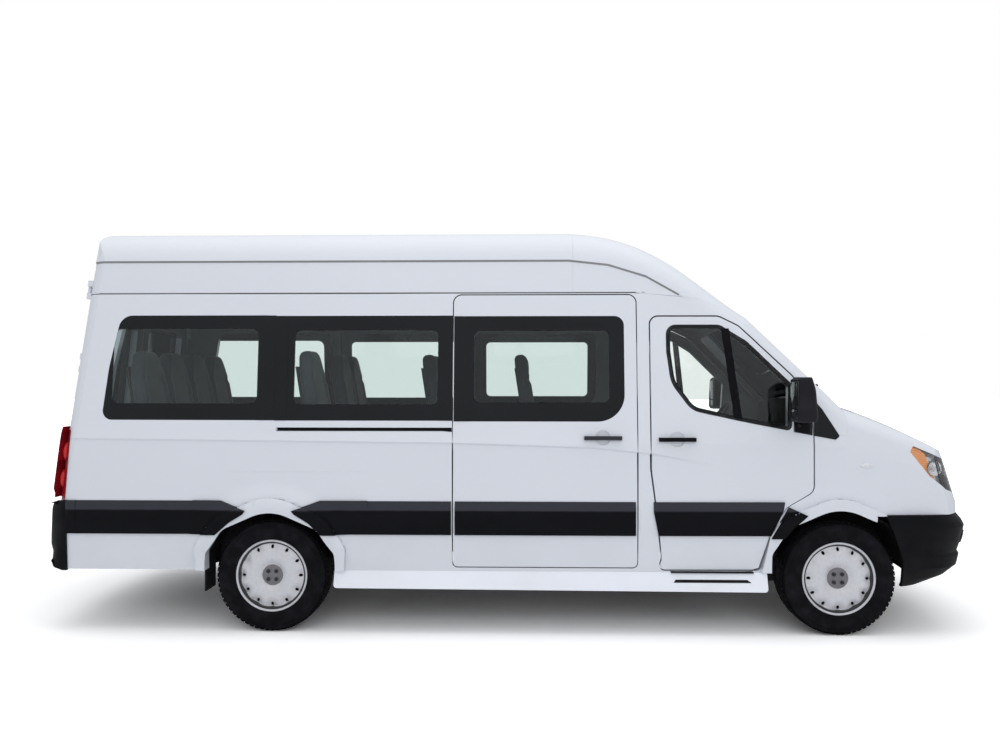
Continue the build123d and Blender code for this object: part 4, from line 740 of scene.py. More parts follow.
def cut_along(bm, line, offsets):
    """Cuts the panel along a bent line and lines above and below it."""
    low_x = min(v.co.x for v in bm.verts)
    high_x = max(v.co.x for v in bm.verts)
    cut_across(bm, X, [x for x, _ in line if low_x < x < high_x])
    for (x0, z0), (x1, z1) in zip(line, line[1:]):
        normal = Vector((z0 - z1, 0.0, x1 - x0)).normalized()
        for offset in offsets:
            faces = []
            for face in bm.faces:
                if x0 - 1e-5 <= face.calc_center_median().x <= x1 + 1e-5:
                    heights = [v.co.z - line_height(line, v.co.x) for v in face.verts]
                    if min(heights) < offset < max(heights):
                        faces.append(face)
            if faces:
                cut_at(bm, faces, (x0, 0.0, z0 + offset), normal)


def cut_grid(bm, low, high, step):
    """Cuts a window of the panel, seen from the side, into small squares. Its corners are (x, z)."""
    def near(centre):
        return low[0] - 0.03 < centre.x < high[0] + 0.03 and low[1] - 0.03 < centre.z < high[1] + 0.03

    for normal, start, end in zip((X, Z), low, high):
        cut_across(bm, normal, (start, end))
    for normal, start, end in zip((X, Z), low, high):
        cut_across(bm, normal, stepped(start, end + 1e-6, step), near)


def smooth_step(low, high, value):
    t = min(1.0, max(0.0, (value - low) / (high - low)))
    return t * t * (3 - 2 * t)


def hump(middle, width, value):
    """A smooth bump of height 1."""
    return math.exp(-((value - middle) / width) ** 2)


def ledge(height, rise, above, below):
    """A crease's profile: proud just above the line, hollow just below it."""
    edge = 0.006
    if height >= edge:
        return rise * math.exp(-(height - edge) / above)
    if height <= -edge:
        return -0.9 * rise * math.exp((height + edge) / below)
    return rise * (0.05 + 0.95 * height / edge)


def groove(value, seam):
    """How deep a seam is at a point: only on its own line."""
    return 0.003 if abs(value - seam) < 0.0016 else 0.0


def side_relief(point):
    """How far the side skin is worked outwards, for the crease and the swellings over the arches."""
    x, z = point.x, point.z
    rise = sizes().belt_step * (1.0 - smooth_step(1.02, 1.40, x)) * smooth_step(-2.82, -2.72, x)
    out = ledge(z - line_height(BELT_LINE, x), rise, 0.06, 0.12) if 0.9 < z < 1.40 else 0.0
    swellings = ((AXLES["rear"] - 0.015, sizes().flare, 0.47, 0.605), (AXLES["front"], 0.006, 0.50, 0.60))
    for axle, size, inner, outer in swellings:
        reach = math.hypot(x - axle, z - WHEEL_Z)
        if reach < outer and z > 0.40:
            out += size * (1.0 - smooth_step(inner, outer, reach)) * smooth_step(0.42, 0.62, z)
    return out - groove(z, ROOF_SEAM_Z)


ROOF_JOINT_X = 0.424


def roof_relief(point):
    rise = 0.004 * (1.0 - smooth_step(1.0, 1.35, point.x))
    out = ledge(point.z - line_height(ROOF_LINE, point.x), rise, 0.05, 0.06)
    return out - groove(point.x, ROOF_JOINT_X) - groove(point.z, ROOF_SEAM_Z)


def round_rear_corner(bm):
    """Rounds the roof's rear top edge, seen from the side."""
    long, high = 0.122, 0.125
    for vert in bm.verts:
        top = 2.610 - 0.25 * max(0.0, abs(vert.co.y) - 0.35) ** 2
        middle = -2.618 + 0.055 * vert.co.y ** 2
        dx, dz = (middle - vert.co.x) / long, (vert.co.z - top + high) / high
        if dx > 0 and dz > 0 and math.hypot(dx, dz) > 1.0:
            share = 1.0 / math.hypot(dx, dz)
            vert.co.x = middle - dx * share * long
            vert.co.z = top - high + dz * share * high


def inward(centre, normal):
    """True for a face that looks into the vehicle: the rear doors' backs, walls above the floor, the roof."""
    if centre.x < -2.7 and normal.x > 0.5:
        return True
    beside_cab = 0.95 < centre.x < 1.93
    if centre.z < 0.66 and not beside_cab:
        return False
    in_wall = abs(centre.y) > 0.70 and centre.y * normal.y < -0.35 * abs(centre.y)
    return in_wall or (normal.z < -0.35 and centre.z > 1.55)


def faces_out(point, normal):
    return abs(point.y) > 0.80 and point.y * normal.y > 0.25 * abs(point.y)


# The side walls' foot, and how it rises behind the rear edge, inside the bumper's corners.
WALL_FOOT_Z, WALL_END_RISE, WALL_END_LENGTH = 0.396, 0.125, 0.165


def worked_panel(node, body, cuts, relief, outward):
    """A body panel with its creases worked in, painted outside and lined inside; stands for its CAD node."""
    bm = merged(node)
    cuts(bm)
    bm.normal_update()
    moves = {vert: vert.normal * relief(vert.co) for vert in bm.verts if outward(vert.co, vert.normal)}
    for vert, move in moves.items():
        vert.co += move
    if node == "roof_panel":
        round_rear_corner(bm)
    if node.startswith("side_wall"):
        for vert in bm.verts:
            reach = min(1.0, max(0.0, (REAR_EDGE_X - vert.co.x) / WALL_END_LENGTH))
            vert.co.z = max(vert.co.z, WALL_FOOT_Z + WALL_END_RISE * reach ** 2)
    bm.normal_update()
    for face in bm.faces:
        face.material_index = int(inward(face.calc_center_median(), face.normal))
    piece = placed(f"{node}_panel", from_bmesh(node, bm, 32.0), body, ["paint", "lining"])
    weigh = piece.modifiers.new("even_shading", "WEIGHTED_NORMAL")
    weigh.keep_sharp = True
    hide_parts(node)


def both_ways(*offsets):
    """Offsets below a line and above it."""
    return [-offset for offset in reversed(offsets)] + list(offsets)


def side_cuts(bm):
    xs = [v.co.x for v in bm.verts]
    cut_along(bm, BELT_LINE, [-0.20, -0.12, -0.07, -0.035, -0.016, -0.006, 0.006, 0.016, 0.035, 0.07, 0.13])
    for axle, reach in ((AXLES["rear"], 0.65), (AXLES["front"], 0.62)):
        if min(xs) < axle + reach and max(xs) > axle - reach:
            cut_grid(bm, (axle - reach, 0.42), (axle + reach, 1.02), 0.024)
    if min(xs) < -2.9:
        cut_across(bm, X, (REAR_EDGE_X, -2.83, -2.86, -2.89, -2.92, -2.945))
        cut_across(bm, Z, (0.42, 0.45, 0.48, 0.51), lambda centre: centre.x < -2.75)
    if max(v.co.z for v in bm.verts) > 2.15:
        cut_across(bm, Z, [ROOF_SEAM_Z - 0.006])


def roof_cuts(bm):
    cut_along(bm, ROOF_LINE, both_ways(0.006, 0.013, 0.03, 0.06, 0.11))
    cut_across(bm, Z, [ROOF_SEAM_Z + 0.006])
    cut_across(bm, X, (0.418, ROOF_JOINT_X, 0.430))
    cut_across(bm, X, (-2.60, -2.62, -2.64, -2.66, -2.68, -2.70, -2.715, -2.73, -2.74))
    cut_across(bm, Z, (2.44, 2.46, 2.48, 2.50, 2.52, 2.54, 2.56, 2.58), lambda centre: centre.x < -2.5)


def bonnet_cuts(bm):
    cut_across(bm, Y, both_ways(0.42, 0.45, 0.47, 0.49, 0.52, 0.56))


def bonnet_relief(point):
    return 0.007 * (1.0 - smooth_step(0.44, 0.50, abs(point.y)))


def door_relief(point):
    """The rear doors' pressed panels, below the window."""
    v = max(abs(abs(point.y) - 0.40) - 0.28, abs(point.z - 0.96) - 0.24)
    return -0.006 * (1.0 - smooth_step(-0.03, 0.0, v))


def door_cuts(bm):
    for offset in (0.0, 0.012, 0.03):
        cut_across(bm, Y, (0.12 + offset, 0.68 - offset, -0.12 - offset, -0.68 + offset))
        cut_across(bm, Z, (0.72 + offset, 1.20 - offset))


class MINIBUS_OT_panels(bpy.types.Operator):
    """Body sides, doors, roof and bonnet, with their creases and paint"""
    bl_idname = "minibus.panels"
    bl_label = "Body panels"

    def execute(self, context):
        for node in ("side_wall_right", "side_wall_left", "front_panel", "sliding_door"):
            worked_panel(node, "body", side_cuts, side_relief, faces_out)
        for side in SIDES:
            worked_panel(f"front_door_{side}", f"front_door_{side}", side_cuts, side_relief, faces_out)
        worked_panel("roof_panel", "body", roof_cuts, roof_relief, lambda point, normal: (
            point.y * normal.y > -0.1 and (normal.z > 0.2 or faces_out(point, normal))))
        worked_panel("bonnet", "bonnet", bonnet_cuts, bonnet_relief, lambda point, normal: normal.z > 0.3)
        for side in SIDES:
            worked_panel(f"rear_door_{side}", f"rear_door_{side}", door_cuts, door_relief,
                         lambda point, normal: normal.x < -0.5)
        return {"FINISHED"}


# ---------------- glass
# Each box: middle, half size and corner radius, seen from the side or from behind.
SALOON_BOXES = [(-2.0535, 1.689, 0.4665, 0.238, 0.05), (-0.8905, 1.681, 0.4565, 0.235, 0.035),
                (0.2235, 1.6855, 0.4265, 0.2265, 0.035)]
REAR_BOX = (0.395, 1.68, 0.285, 0.29, 0.05)
WINDSCREEN_BOX = (0.0, 1.72, 0.80, 0.262, 0.09)


class MINIBUS_OT_glass(bpy.types.Operator):
    """Windscreen, side and rear windows"""
    bl_idname = "minibus.glass"
    bl_label = "Glass"

    def execute(self, context):
        tint = tuple(colours().tint)
        saloon = finish_glass("saloon_glass", tint, SALOON_BOXES)
        rear = finish_glass("rear_glass", tint, [REAR_BOX], across=True)
        cab = finish_glass("cab_glass", CABIN_TINT, [])
        for node in ("side_windows", "sliding_door_window"):
            dress(node, saloon)
        for side in SIDES:
            dress(f"rear_door_window_{side}", rear)
            dress(f"front_door_window_{side}", cab)
        dress("windscreen", finish_glass("windscreen_glass", CABIN_TINT, [WINDSCREEN_BOX], across=True))
        return {"FINISHED"}


# ---------------- plain finishes of CAD nodes
NODE_FINISHES = {
    "plastic": "cowl_panel grille front_bumper front_door_fittings_right front_door_fittings_left "
               "rear_door_fittings_right rear_door_fittings_left wipers",
    "strip": "sliding_door_fittings",
    "trim": "wheel_housings fuel_tank",
    "paint": "rear_hinges",
    "under": "chassis_frame front_suspension rear_springs seat_frames",
    "cast": "rear_axle knuckle_right knuckle_left propshaft",
    "alloy": "engine",
    "pipe": "exhaust",
    "rubber": "spare_wheel",
    "vinyl": "floor_pan",
    "dash": "dashboard steering_wheel",
    "plate": "number_plates",
    "red": "tail_lamps",
    "lens": "headlamp_lenses",
    "chrome": "headlamp_housings",
    "cloth": "front_seats passenger_seats",
}


class MINIBUS_OT_finishes(bpy.types.Operator):
    """Finishes of the pieces whose shape comes from the frame"""
    bl_idname = "minibus.finishes"
    bl_label = "Plain pieces"

    def execute(self, context):
        for key, nodes in NODE_FINISHES.items():
            for node in nodes.split():
                dress(node, key)
        return {"FINISHED"}


class MINIBUS_OT_rear_fittings(bpy.types.Operator):
    """Rear hinges in body colour and the handle in black"""
    bl_idname = "minibus.rear_fittings"
    bl_label = "Rear doors' hinges and handle"

    def execute(self, context):
        for side in SIDES:
            node, body = f"rear_door_fittings_{side}", f"rear_door_{side}"
            mesh = from_bmesh("rear_fittings", merged(node))
            for face in mesh.polygons:
                in_handle = 1.08 < face.center.z < 1.19 and abs(face.center.y) < 0.2
                face.material_index = int(in_handle)
            placed(f"rear_leaves_{side}", mesh, body, ["paint", "plastic"], node)
        return {"FINISHED"}


# Side strips lie above this height and sill boards below it; the boards' upper outer edge is drawn in.
SILL_TOP_Z = 0.5
SILL_SLOPE = 0.034


class MINIBUS_OT_trim(bpy.types.Operator):
    """Side strips in black plastic and sill boards in body colour made lighter, a painted highlight"""
    bl_idname = "minibus.trim"
    bl_label = "Strips and sill boards"

    def execute(self, context):
        for strips in (True, False):
            bm = merged("side_trim")
            rest = [f for f in bm.faces if (f.calc_center_median().z > SILL_TOP_Z) != strips]
            bmesh.ops.delete(bm, geom=rest, context="FACES")
            without(bm, [v for v in bm.verts if not v.link_faces])
            if strips:
                placed("side_strips", bm, "body", "strip", "side_trim")
                continue
            for vert in bm.verts:
                if vert.co.z > 0.36 and abs(vert.co.y) > 0.99:
                    vert.co.y -= math.copysign(SILL_SLOPE, vert.co.y)
            # the sill boards take the lighter copy of the body paint: a painted highlight
            placed("sill_boards", bm, "body", "sill_paint")
        return {"FINISHED"}


# ---------------- side details
# Outlines seen from the side, as (x, z) or (x, z, corner radius).
# The strip's ends run up to the wheel arches.
STRIP_ENDS = {
    "rear_back": [(-1.985, 0.838), (-1.804, 0.838), (-1.640, 0.778), (-1.655, 0.755), (-1.745, 0.700),
                  (-1.828, 0.626), (-2.005, 0.626)],
    "rear_front": [(-0.875, 0.838), (-1.176, 0.838), (-1.345, 0.778), (-1.325, 0.755), (-1.235, 0.700),
                   (-1.170, 0.626), (-0.850, 0.626)],
    "front_back": [(1.765, 0.806), (1.874, 0.756), (1.802, 0.690), (1.735, 0.612), (1.650, 0.612)],
    "corner": [(-2.735, 0.836), (-2.735, 0.626), (REAR_EDGE_X, 0.626), (REAR_EDGE_X, 0.836)],
}
BUMPER_CORNER = [(-2.796, 0.838, 0.004), (-2.910, 0.818, 0.01), (-2.922, 0.620, 0.05), (-2.920, 0.470, 0.03),
                 (-2.884, 0.410, 0.03), (-2.826, 0.388, 0.02), (-2.796, 0.388, 0.004)]
RAIL_FLOOR = [(-1.452, 1.277), (-0.405, 1.277), (-0.343, 1.272), (-0.343, 1.2975), (-1.452, 1.2975)]
QUARTER_WING = [(1.9275, 1.2505, 0.0), (2.06, 1.226, 0.012), (2.086, 1.248, 0.012), (1.982, 1.415, 0.02),
                (1.9275, 1.48, 0.0)]
QUARTER_DOOR = [(1.802, 1.274), (1.9155, 1.253), (1.9155, 1.492), (1.835, 1.59), (1.802, 1.608)]
REPEATER = [(2.198, 1.062, 0.006), (2.250, 1.082, 0.03), (2.312, 1.062, 0.006), (2.250, 1.046, 0.03)]
STEP_SLOT = [(1.047, 0.334), (1.530, 0.334), (1.505, 0.352), (1.060, 0.352)]
# Where the pillar beside the sliding door's front edge ends, and where the next one begins.
PILLAR_SEAM = {"right": (-0.3385, -0.3310), "left": (-0.3355, -0.3325)}
SKIN = {}


def find_skins():
    """The outsides of the body that patches are laid on."""
    for side in SIDES:
        names = [f"side_wall_{side}_panel", "front_panel_panel", f"front_door_{side}_panel", "side_windows"]
        if side == "right":
            names += ["sliding_door_panel", "sliding_door_window"]
        SKIN[side] = skin_tree(*names)


def on_skin(name, outline, side, key, lift, depth, slot, body="body", skin=None, **shape):
    """A patch on one side of the body, from an outline seen from that side."""
    bm = skin_patch(outline, skin or SKIN[side], (0.0, -SIDES[side], 0.0), lift, depth, **shape)
    placed(f"{name}_{side}", bm, body, key)


def bumper_pieces():
    """The rear bumper without its corners, the threshold over it and the front bumper's lower intake."""
    bm = merged("rear_bumper")
    bmesh.ops.bisect_plane(bm, geom=everything(bm), plane_co=X * REAR_EDGE_X, plane_no=X, clear_outer=True)
    bmesh.ops.holes_fill(bm, edges=[edge for edge in bm.edges if edge.is_boundary])
    placed("rear_bumper_shell", bm, "body", "plastic", "rear_bumper")
    placed("rear_threshold", boxes(((-2.895, -0.80, 0.560), (-2.812, 0.80, 0.578), 0.003),
                                   ((-2.838, -0.80, 0.565), (-2.821, 0.80, 0.638), 0.002)),
           "body", "trim")
    nose = skin_tree("front_bumper")
    parts = [skin_patch(rectangle(-0.412, 0.412, 0.402, 0.518), nose, -X, -0.030, 0.006, straight=True)]
    for z in (0.430, 0.453, 0.476):
        slat = rectangle(-0.405, 0.405, z, z + 0.009)
        parts.append(skin_patch(slat, nose, -X, -0.008, 0.026, straight=True))
    placed("lower_intake", joined(parts), "body", "plastic")


class MINIBUS_OT_side_details(bpy.types.Operator):
    """Strip ends at the arches, window pillars, corner triangles and step pads"""
    bl_idname = "minibus.side_details"
    bl_label = "Side details"

    def execute(self, context):
        find_skins()
        bumper_pieces()
        boards = skin_tree("sill_boards")
        for side in SIDES:
            for name, outline in STRIP_ENDS.items():
                on_skin(f"strip_{name}", outline, side, "strip", 0.0155, 0.026, "black_plastic", step=0.0095,
                        straight=True)
            corner = skin_tree(f"side_wall_{side}_panel", "rear_bumper_shell")
            on_skin("bumper_corner", rounded(BUMPER_CORNER), side, "plastic", 0.013, 0.020, "black_plastic",
                    skin=corner, step=0.016)
            on_skin("window_pillar_back", rectangle(-1.510, -1.432, 1.345, 2.009), side, "gloss_black",
                    0.001, 0.004, "tinted_glass")
            ends, starts = PILLAR_SEAM[side]
            pillars = ((-1.585, -1.4735, 1.344, 2.013), (-1.4705, -1.395, 1.342, 2.010),
                       (-0.420, ends, 1.342, 2.010), (starts, -0.235, 1.338, 2.006))
            for k, pillar in enumerate(pillars):
                on_skin(f"window_pillar_{k}", rectangle(*pillar), side, "gloss_black", 0.0022, 0.006,
                        "tinted_glass")
            on_skin("quarter_wing", rounded(QUARTER_WING), side, "gloss_black", 0.004, 0.008, "black_plastic")
            on_skin("quarter_door", QUARTER_DOOR, side, "gloss_black", 0.005, 0.007, "black_plastic",
                    f"front_door_{side}")
            if side == "right":
                on_skin("rail_floor", RAIL_FLOOR, side, "plastic", 0.0015, 0.003, "black_plastic")
            on_skin("step_slot", STEP_SLOT, side, "plastic", 0.002, 0.004, "black_plastic", skin=boards)
            ribs = []
            for k in range(9):
                near = 0.915 + 0.0105 * k
                low, high = on_side(side, near, near + 0.006)
                ribs.append(((1.03, low, 0.394), (1.545, high, 0.4015), 0.002))
            placed(f"step_ribs_{side}", boxes(*ribs), "body", "plastic")
            on_skin("side_repeater", rounded(REPEATER), side, "bulb", 0.004, 0.008, "lamp_lens", step=0.02,
                    crown=0.006)
        return {"FINISHED"}


# ---------------- front doors' windows and mirrors
DOOR_WINDOW = [
    (1.011, 1.780, 0.06), (1.011, 1.950, 0.06), (1.350, 1.950, 0.06), (1.518, 1.847, 0.09),
    (1.800, 1.572, 0.06), (1.789, 1.279, 0.03), (1.458, 1.343, 0.20), (1.165, 1.408, 0.13),
    (1.037, 1.580, 0.20),
]
WINDOW_BAR = [(1.362, 1.925), (1.408, 1.925), (1.480, 1.352), (1.430, 1.362)]


def mirror_head(side):
    """The mirror's housing: narrow above, wide below, its front rounded and its face pressed in."""
    bm = rounded_block((-1.0, 1.073, 1.346), (1.0, 1.263, 1.617), 0.034, 12)
    for vert in bm.verts:
        x, y, z = vert.co
        front = np.interp(z, [1.346, 1.38, 1.54, 1.617], [1.862, 1.872, 1.858, 1.836])
        back = np.interp(z, [1.346, 1.38, 1.59, 1.617], [1.741, 1.737, 1.745, 1.760])
        round_off = 0.020 * (max(0.0, abs(y - 1.168) - 0.03) / 0.065) ** 2
        vert.co.x = back + (front - round_off - back) * (x + 1.0) / 2.0
        if vert.co.x < 1.79 and 1.092 < y < 1.246 and 1.372 < z < 1.594:
            vert.co.x += 0.012
        vert.co.y = y * SIDES[side]
    if SIDES[side] < 0:
        bmesh.ops.reverse_faces(bm, faces=bm.faces)
    return bm


class MINIBUS_OT_cab_doors(bpy.types.Operator):
    """Window seals and division bars of the front doors, and the mirrors"""
    bl_idname = "minibus.cab_doors"
    bl_label = "Front doors' windows and mirrors"

    def execute(self, context):
        outline = spaced(rounded(DOOR_WINDOW, 6))
        for side in SIDES:
            body = f"front_door_{side}"
            glass = skin_tree(f"front_door_window_{side}", f"front_door_{side}_panel")
            on_skin("window_seal", outline, side, "gloss_black", 0.0025, 0.006, "clear_glass", body, glass,
                    step=0.06, hole=inset(outline, 0.026))
            on_skin("window_bar", WINDOW_BAR, side, "plastic", 0.006, 0.008, "black_plastic", body, glass)
            placed(f"mirror_head_{side}", mirror_head(side), body, "trim")
            low, high = on_side(side, 1.096, 1.242)
            for name, bottom, top in (("mirror_glass", 1.430, 1.590), ("mirror_wide_glass", 1.376, 1.422)):
                pane = boxes(((1.742, low, bottom), (1.762, high, top), 0.003))
                placed(f"{name}_{side}", pane, body, "mirror")
            node = f"front_door_fittings_{side}"
            bm = merged(node)
            without(bm, [v for v in bm.verts
                         if abs(v.co.y) > 1.085 and v.co.z > 1.3 and 1.74 < v.co.x < 1.86])
            fittings = from_bmesh("door_fittings", bm)
            for face in fittings.polygons:
                face.material_index = int(face.center.z < 0.9)
            placed(f"door_fittings_{side}", fittings, body, ["plastic", "strip"], node)
        return {"FINISHED"}


# ---------------- lamps
# Turned shapes as (share of the lamp's radius, height).
BOWL_PROFILE = [(1.0, 0.003), (1.06, 0.0), (1.05, -0.004), (0.9, -0.007), (0.65, -0.012), (0.38, -0.0155),
                (0.22, -0.0165), (0.0, -0.0165)]
BULB_PROFILE = [(0.0, 0.0), (0.2, -0.001), (0.29, -0.006), (0.28, -0.014), (0.22, -0.0165)]
# Lamps behind each headlamp's lens: the way they are looked for, their two other coordinates, and radius.
BEAMS = [("y", 2.690, 1.045, 0.046), ("y", 2.775, 0.975, 0.050), ("x", 0.775, 1.010, 0.062)]
# How far behind the lens the bowl's skin and the round lamps lie.
BOWL_DEPTH = 0.021
BEAM_DEPTH = 0.013
TAIL_LAMP = [(-2.842, 1.309, 0.012), (-2.784, 1.275, 0.015), (-2.813, 0.846, 0.01), (-2.893, 0.846, 0.01)]


def facing_disc(profile, radius, place, toward, steps):
    """A turned part whose axis points along a direction."""
    part = lathe([(share * radius, out) for share, out in profile], steps, closed=False)
    turn = Y.rotation_difference(toward).to_matrix().to_4x4()
    bmesh.ops.transform(part, matrix=Matrix.Translation(place) @ turn, verts=part.verts)
    return part


def beam_place(lens, look, u, v, y):
    """A point on the lens and the way it faces, found from the side or from the front."""
    start, toward = (Vector((u, 6.0 * y, v)), -Y * y) if look == "y" else (Vector((6.0, u * y, v)), -X)
    hit, normal, _, _ = lens.ray_cast(start, toward)
    return hit, -normal if normal.dot(toward) > 0 else normal


def sunk_bowl(side, lens):
    """The lamp's inner shell, moved back from its lens."""
    bm = merged("headlamp_housings")
    without(bm, [v for v in bm.verts if v.co.y * SIDES[side] < 0])
    for vert in bm.verts:
        _, normal, _, gap = lens.find_nearest(vert.co)
        if gap < 0.012:
            outwards = Vector((0.6, SIDES[side], 0.0))
            vert.co -= (normal if normal.dot(outwards) >= 0 else -normal) * BOWL_DEPTH
    return bm


class MINIBUS_OT_lamps(bpy.types.Operator):
    """Headlamps, fog lamps and tail lamps"""
    bl_idname = "minibus.lamps"
    bl_label = "Lamps"

    def execute(self, context):
        find_skins()
        lens, bumper, tail_skin = (
            skin_tree(node) for node in ("headlamp_lenses", "front_bumper", "tail_lamps"))
        for side, y in SIDES.items():
            placed(f"headlamp_bowl_{side}", sunk_bowl(side, lens), "body", "lamp_bowl",
                   "headlamp_housings" if side == "right" else None)
            rings, bulbs = [], []
            for look, u, v, radius in BEAMS:
                spot, facing = beam_place(lens, look, u, v, y)
                spot = spot - facing * BEAM_DEPTH
                rings.append(facing_disc(BOWL_PROFILE, radius, spot, facing, 40))
                bulbs.append(facing_disc(BULB_PROFILE, radius, spot, facing, 24))
            placed(f"headlamp_reflectors_{side}", joined(rings), "body", "chrome")
            placed(f"headlamp_bulbs_{side}", joined(bulbs), "body", "bulb")
            inner = oval(0.80 * y, 0.600, 0.044, 0.032)
            rim = skin_patch(oval(0.80 * y, 0.600, 0.052, 0.040), bumper, -X, 0.006, 0.010, hole=inner)
            placed(f"fog_lamp_rim_{side}", rim, "body", "trim")
            fog_lens = skin_patch(inner, bumper, -X, 0.003, 0.008, 0.015, 0.006)
            placed(f"fog_lamp_{side}", fog_lens, "body", "bulb")
            on_skin("tail_lamp_side", rounded(TAIL_LAMP), side, "red", 0.006, 0.010, "red_lens", step=0.03,
                    crown=0.004)
            for k, z in enumerate((1.140, 0.965)):
                bulge = skin_patch(oval(0.918 * y, z, 0.036, 0.060), tail_skin, X, 0.004, 0.010, 0.010, 0.018)
                placed(f"tail_lamp_bulge_{k}_{side}", bulge, "body", "bright_red")
        return {"FINISHED"}


# ---------------- seats
# Each row: x at the top of its backs, middle y, width and number of places.
SEAT_ROWS = {
    "front_seats": [(0.960, 0.470, 0.500, 1), (0.960, -0.420, 0.860, 2)],
    "passenger_seats": [(0.059, 0.480, 0.860, 2), (-0.642, 0.480, 0.860, 2), (-1.343, 0.480, 0.860, 2),
                        (-1.343, -0.690, 0.430, 1), (-2.470, 0.0, 1.720, 4)],
}
BACK_HEIGHT = 0.762
CUSHION_LENGTH = 0.45
SEAT_GAP = 0.014
# Where backs and cushions stand: how far ahead of the backs' tops, and how high.
BACK_FOOT = (0.140, 1.036)
CUSHION_TOP = (0.190, 1.058)


def seat_back(width):
    """A seat's back in its own place: up is Z, the sitter's side is +X."""
    bm = rounded_block((-0.044, -width / 2, 0.0), (0.044, width / 2, BACK_HEIGHT), 0.036, 22)
    for vert in bm.verts:
        x, y, z = vert.co
        u, v = abs(y) / (width / 2), z / BACK_HEIGHT
        vert.co.y = y * (1.0 - 0.55 * smooth_step(0.62, 1.04, v) ** 1.8 - 0.04 * hump(0.68, 0.07, v))
        round_u = 1.0 - u * u
        if x > 0:
            bolster = 0.010 * smooth_step(0.55, 0.82, u) * (1 - smooth_step(0.88, 1.0, u))
            bolster *= 1 - smooth_step(0.70, 0.85, v)
            lumbar = 0.012 * hump(0.28, 0.16, v) * round_u
            head = 0.014 * smooth_step(0.76, 0.88, v) * (1.0 - smooth_step(0.92, 1.0, v)) * round_u
            seam = 0.010 * hump(0.735, 0.012, v) + 0.006 * hump(0.50, 0.010, v)
            seam += 0.008 * hump(0.60, 0.035, u) * (1 - smooth_step(0.66, 0.74, v))
            vert.co.x += bolster + lumbar + head - seam
        else:
            vert.co.x -= 0.010 * round_u * (1 - (2 * v - 1) ** 2)
    return bm


def seat_cushion(width):
    """A seat's cushion in its own place: from x = 0 at its back forwards, top at about z = 0."""
    bm = rounded_block((0.0, -width / 2, -0.112), (CUSHION_LENGTH, width / 2, 0.0), 0.038, 18)
    for vert in bm.verts:
        x, y, z = vert.co
        u, w = abs(y) / (width / 2), x / CUSHION_LENGTH
        if z > -0.05:
            crown = 0.016 * (1 - u * u) * (1 - (2 * w - 1) ** 4)
            roll = 0.012 * smooth_step(0.70, 0.9, w) * (1 - smooth_step(0.93, 1.0, w))
            bolster = 0.010 * smooth_step(0.60, 0.84, u) * (1 - smooth_step(0.9, 1.0, u))
            seam = 0.009 * hump(0.66, 0.018, w) + 0.008 * hump(0.62, 0.035, u)
            vert.co.z += crown + roll + bolster - seam
    return bm


class MINIBUS_OT_seats(bpy.types.Operator):
    """Padded seats of the cab and the saloon"""
    bl_idname = "minibus.seats"
    bl_label = "Seats"

    def execute(self, context):
        lean = Matrix.Rotation(math.atan2(-0.120, 0.760), 4, "Y")
        for node, rows in SEAT_ROWS.items():
            for r, (top_x, middle_y, width, places) in enumerate(rows):
                share = width / places
                back = from_bmesh("seat_back", seat_back(share - SEAT_GAP), 60.0)
                base = from_bmesh("seat_cushion", seat_cushion(share - SEAT_GAP), 60.0)
                for k in range(places):
                    y = middle_y - width / 2 + (k + 0.5) * share
                    for part, mesh, (ahead, up), turn in (("back", back, BACK_FOOT, lean),
                                                          ("base", base, CUSHION_TOP, Matrix())):
                        stand = Matrix.Translation((top_x + ahead, y, up)) @ turn
                        piece = placed(f"{node}_{part}_{r}_{k}", moved(mesh, stand), "body", "cloth",
                                       node)
        return {"FINISHED"}


# ---------------- wheels
# Half sections as (radius, y), y outwards.
COVER_PROFILE = [
    (0.0, 0.09), (0.03, 0.09), (0.058, 0.0895), (0.064, 0.088), (0.0665, 0.0845), (0.07, 0.085),
    (0.08, 0.092), (0.095, 0.0985), (0.112, 0.1025), (0.13, 0.104), (0.148, 0.1025), (0.164, 0.0985),
    (0.178, 0.093), (0.19, 0.088), (0.202, 0.086), (0.208, 0.088), (0.211, 0.096), (0.214, 0.105),
    (0.219, 0.1125),
    (0.2245, 0.114), (0.228, 0.1115), (0.229, 0.1085), (0.226, 0.106), (0.216, 0.1), (0.213, 0.09),
    (0.208, 0.083), (0.19, 0.083), (0.16, 0.09), (0.11, 0.096), (0.064, 0.08), (0.0, 0.08),
]
RIM_PROFILE = [
    (0.2116, -0.1065), (0.2116, 0.104), (0.22, 0.106), (0.2205, 0.1), (0.204, 0.096), (0.198, 0.07),
    (0.176, 0.045), (0.12, 0.035), (0.0425, 0.035), (0.0425, -0.03), (0.1, -0.03), (0.15, 0.005),
    (0.182, 0.04), (0.192, -0.11), (0.22, -0.114), (0.222, -0.108),
]
# From the outer shoulder to the middle of the tread; the inner half mirrors it.
TREAD_HALF = [
    (0.32, 0.1155), (0.33, 0.1125), (0.339, 0.108), (0.343, 0.101), (0.345, 0.09), (0.349, 0.066),
    (0.3485, 0.064), (0.349, 0.058), (0.356, 0.057), (0.356, 0.034), (0.349, 0.033), (0.349, 0.025),
    (0.356, 0.024),
]
TYRE_PROFILE = [
    (0.212, 0.105), (0.2225, 0.1075), (0.233, 0.1098), (0.24, 0.1104), (0.2425, 0.1118), (0.246, 0.1118),
    (0.249, 0.1106), (0.262, 0.1136), (0.276, 0.116), (0.29, 0.1172), (0.301, 0.1175), (0.3035, 0.1187),
    (0.307, 0.1187), (0.309, 0.1172), *TREAD_HALF, *((radius, -y) for radius, y in reversed(TREAD_HALF)),
    (0.3, -0.1175), (0.276, -0.116), (0.249, -0.111), (0.212, -0.105), (0.22, -0.09), (0.3, -0.09),
    (0.326, -0.06), (0.326, 0.06), (0.3, 0.09), (0.22, 0.09),
]
